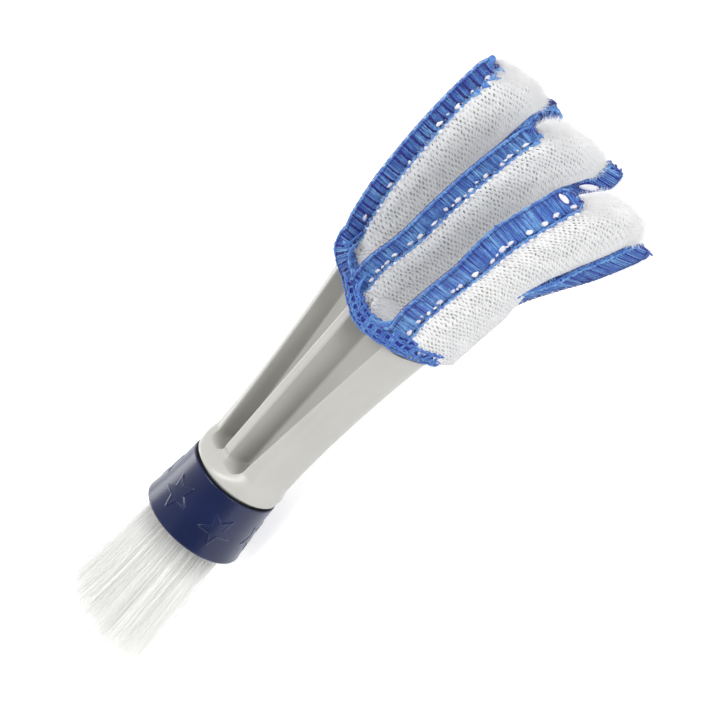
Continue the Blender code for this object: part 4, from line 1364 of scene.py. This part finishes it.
def add_bumps(band, seed, side):
    """Cloth that swells out under a front seam's inner edge, in a row of bumps."""
    bumps = np.arange(FIRST_BUMP[side], band["run"][-1] - 1.5, 2.3)
    bumps = bumps + 0.35 * np.random.default_rng(seed).normal(0, 1, len(bumps))
    white_parts.append(ovals(band, bumps, -1.02, 0.7, BUMP_HEIGHT[side], lift=0.5, seed=seed))


def add_slits(band):
    """Dark slits of painted shadow along the curled tail, thick in their middle."""
    t = np.linspace(0, 1, 9)
    for start, stop, place, shift, thick in SLITS:
        run = band["run"][-1] - start + (start - stop) * t
        dark_parts.append(strand(on_band(band, run, place, -0.3 + shift * (2 * t - 1)),
                                 thick * (0.2 + 0.8 * np.sin(math.pi * t)), 0.3))


def knob(band):
    """The knot at the end of a band."""
    line = on_band(band, band["run"][-1] + np.linspace(-0.8, 0, 5), 0.1, 0.3)
    return strand(line + np.outer(np.linspace(0, 1.5, 5), (0.9, 0.2, 0.5)),
                  (0.5, 0.85, 0.95, 0.85, 0.4), 0.6, sides=10)


def add_opening(band, from_end, at, long, tall):
    """An oval of cloth on a band's front face, with dark thread round it."""
    run, around = band["run"][-1] - from_end, np.linspace(0, math.tau, 25)
    white_parts.append(ovals(band, [run], at, long, tall, lift=0.3, seed=3, faces_out=(1,)))
    edge = on_band(band, run + (long + 0.1) * np.cos(around),
                   at + (tall + 0.1) / half_sizes(band, run)[0] * np.sin(around), 1.15)
    dark_parts.append(strand(edge, 0.15, 0.8))


for side, finger in NAMES.items():
    for face, where in ((1, "front"), (-1, "back")):
        edge, name = (side, face), finger + "_" + where
        band = seam_spine(side, face)
        seed = 50 + 2 * side + face
        places, into, gaps = feed(band["run"][-1], seed, *STITCH.get(edge, BACK_STITCH))
        parts = [yarn_loops("loops", band, places, into, seed)]
        for out in (1.0, -1.0):
            parts.append(cord_along(band, -0.84, out, 0.27, 0.05, 3.3, seed, 0.7))
            parts.append(cord_along(band, -0.96, 0.72 * out, 0.28, 0.08, 2.3, seed))
            dark_parts.append(cord_along(band, 0.86, 1.12 * out, 0.09, 0.05, 2.7))
        parts.append(cord_along(band, 0.96, 0.2, 0.22, 0.1, 2.9, seed, 0.6, start=0.02))
        bright, dark = ([], []) if edge == (1, -1) else frayed_end(band, seed)
        if edge in TEETH:
            bright += teeth(band, seed, *TEETH[edge])
        cloth, shadow = gap_pads(band, gaps, seed, *PAD_STEPS.get(edge, (60.0, 1.5)))
        dark_parts += dark + [shadow]
        white_parts.append(cloth)
        if face > 0:
            add_bumps(band, seed, side)
        if edge == (1, 1):
            # Painted shade: dark ovals in the open squares of the left finger's ladder.
            dark_parts += [ovals(band, gaps, place, 0.32, tall, lift=0.2, seed=seed)
                           for place, tall in ((0.15, 0.5), (-0.6, 0.36))]
            bright.append(knob(band))
        if edge == (1, -1):
            add_slits(band)
        if edge in OPENINGS:
            add_opening(band, *OPENINGS[edge])
        core = band_core(name + "_edge", band)
        sewn = joined(name + "_stitching", parts + bright)
        smooth(sewn)
        smooth(core)
        finish(sewn, "cover", "blue_thread", yarn, name + "_seam")
        finish(core, "cover", "blue_thread", core_yarn_painted_shade)

# %% [markdown]
# ## Hem
# The same stitch goes once round the mouth of the cover, where the three pockets meet. It dips
# towards the collar over the middle plate. On its face it is a ladder: rungs of two loops, under
# two chains of two strands each, with small dark squares between them, where the core's painted
# shade shows.

# %% Spine of the hem, round the mouth
HEM_HALF_WIDTH, HEM_HALF_DEPTH, HEM_SEED, HEM_YARN = 2.3, 0.8, 77, 0.23
turn = np.linspace(0, math.tau, 241)
across_y, up_z = power_point(turn, 3.4)
y = across_y * (grip_half_width(54.0) + 1.0)
z = up_z * (middle_half_depth(54.0) + 1.0)
centre = np.stack([hem_at(y), y, z], axis=-1)
tangent = np.gradient(centre, axis=0)
tangent[0] = tangent[-1] = centre[1] - centre[-2]
tangent = unit(tangent)
across = np.tile([1.0, 0.0, 0.0], (len(turn), 1))
across = unit(across - tangent * (across * tangent).sum(1, keepdims=True))
outwards = np.cross(across, tangent)
outwards *= np.sign((outwards * np.stack([0 * y, y, z], axis=-1)).sum(1, keepdims=True))
band = spine(centre, across, outwards, HEM_HALF_WIDTH, HEM_HALF_DEPTH)
hem_core = band_core("hem_edge", band, closed=True)
places, into, gaps = feed(band["run"][-1], HEM_SEED, 2, 0.46, 1.15)
parts = [yarn_loops("loops", band, places, into, HEM_SEED, yarn=HEM_YARN)]
for place, out, wave, phase in ((-0.9, 0.9, 0.1, 0.0), (-0.38, 1.3, 0.32, 0.0),
                                (-0.38, 1.3, 0.32, math.pi), (0.42, 1.3, 0.32, 1.6),
                                (0.42, 1.3, 0.32, 1.6 + math.pi), (0.92, 0.9, 0.1, 0.0)):
    parts.append(cord_along(band, place, out, 0.22, wave, 4.1, phase, 0.45))

# %% [markdown]
# Where a finger's front seam leaves the hem, the cloth is gathered: strands of yarn fan out from
# the corner, over a sheet of the same yarn, and go from the hem up onto the seam.

# %% Gathers at the corners, and the last pieces
GATHERS = ((1, -1, 2.4), (0, 1, 4.4), (0, -1, 3.4), (-1, 1, 5.2), (-1, -1, 2.8))
t = np.linspace(0, 1, 13)[:, None]
for side, sign, size in GATHERS:
    corner_y = cloth_middle(57.0, side) + sign * 0.9
    top = finger_front(57.0, side) - 1.2
    corner = np.array([hem_at(corner_y) + 1.6, corner_y, top])
    lines = []
    for reach in np.arange(0.4, size, 0.42):
        along_hem = hem_at(corner_y + sign * reach) - hem_at(corner_y)
        start = corner + [along_hem, sign * reach, 10.6 - top]
        end = corner + [1.6 + 1.1 * reach, 0.0, -0.9]
        lines.append(start * (1 - t) ** 2 + corner * 2 * t * (1 - t) + end * t ** 2)
        parts.append(strand(lines[-1], 0.27, 0.35 + 0.6 * ((reach * 7.3) % 1)))
    parts.append(rolled("under", np.array(lines) - [0.0, 0.0, 0.2]))
hem = joined("hem_stitching", parts)
smooth(hem)
smooth(hem_core)
finish(hem, "cover", "blue_thread", yarn, "mouth_hem")
finish(hem_core, "cover", "blue_thread", core_yarn_painted_shade)
for name, parts, slot, material in (("peeping_cloth", white_parts, "white_knit", microfibre),
                                    ("navy_thread_and_painted_shadow", dark_parts, "blue_thread", navy_and_painted_shade_yarn)):
    piece = joined(name, parts)
    smooth(piece)
    finish(piece, "cover", slot, material)
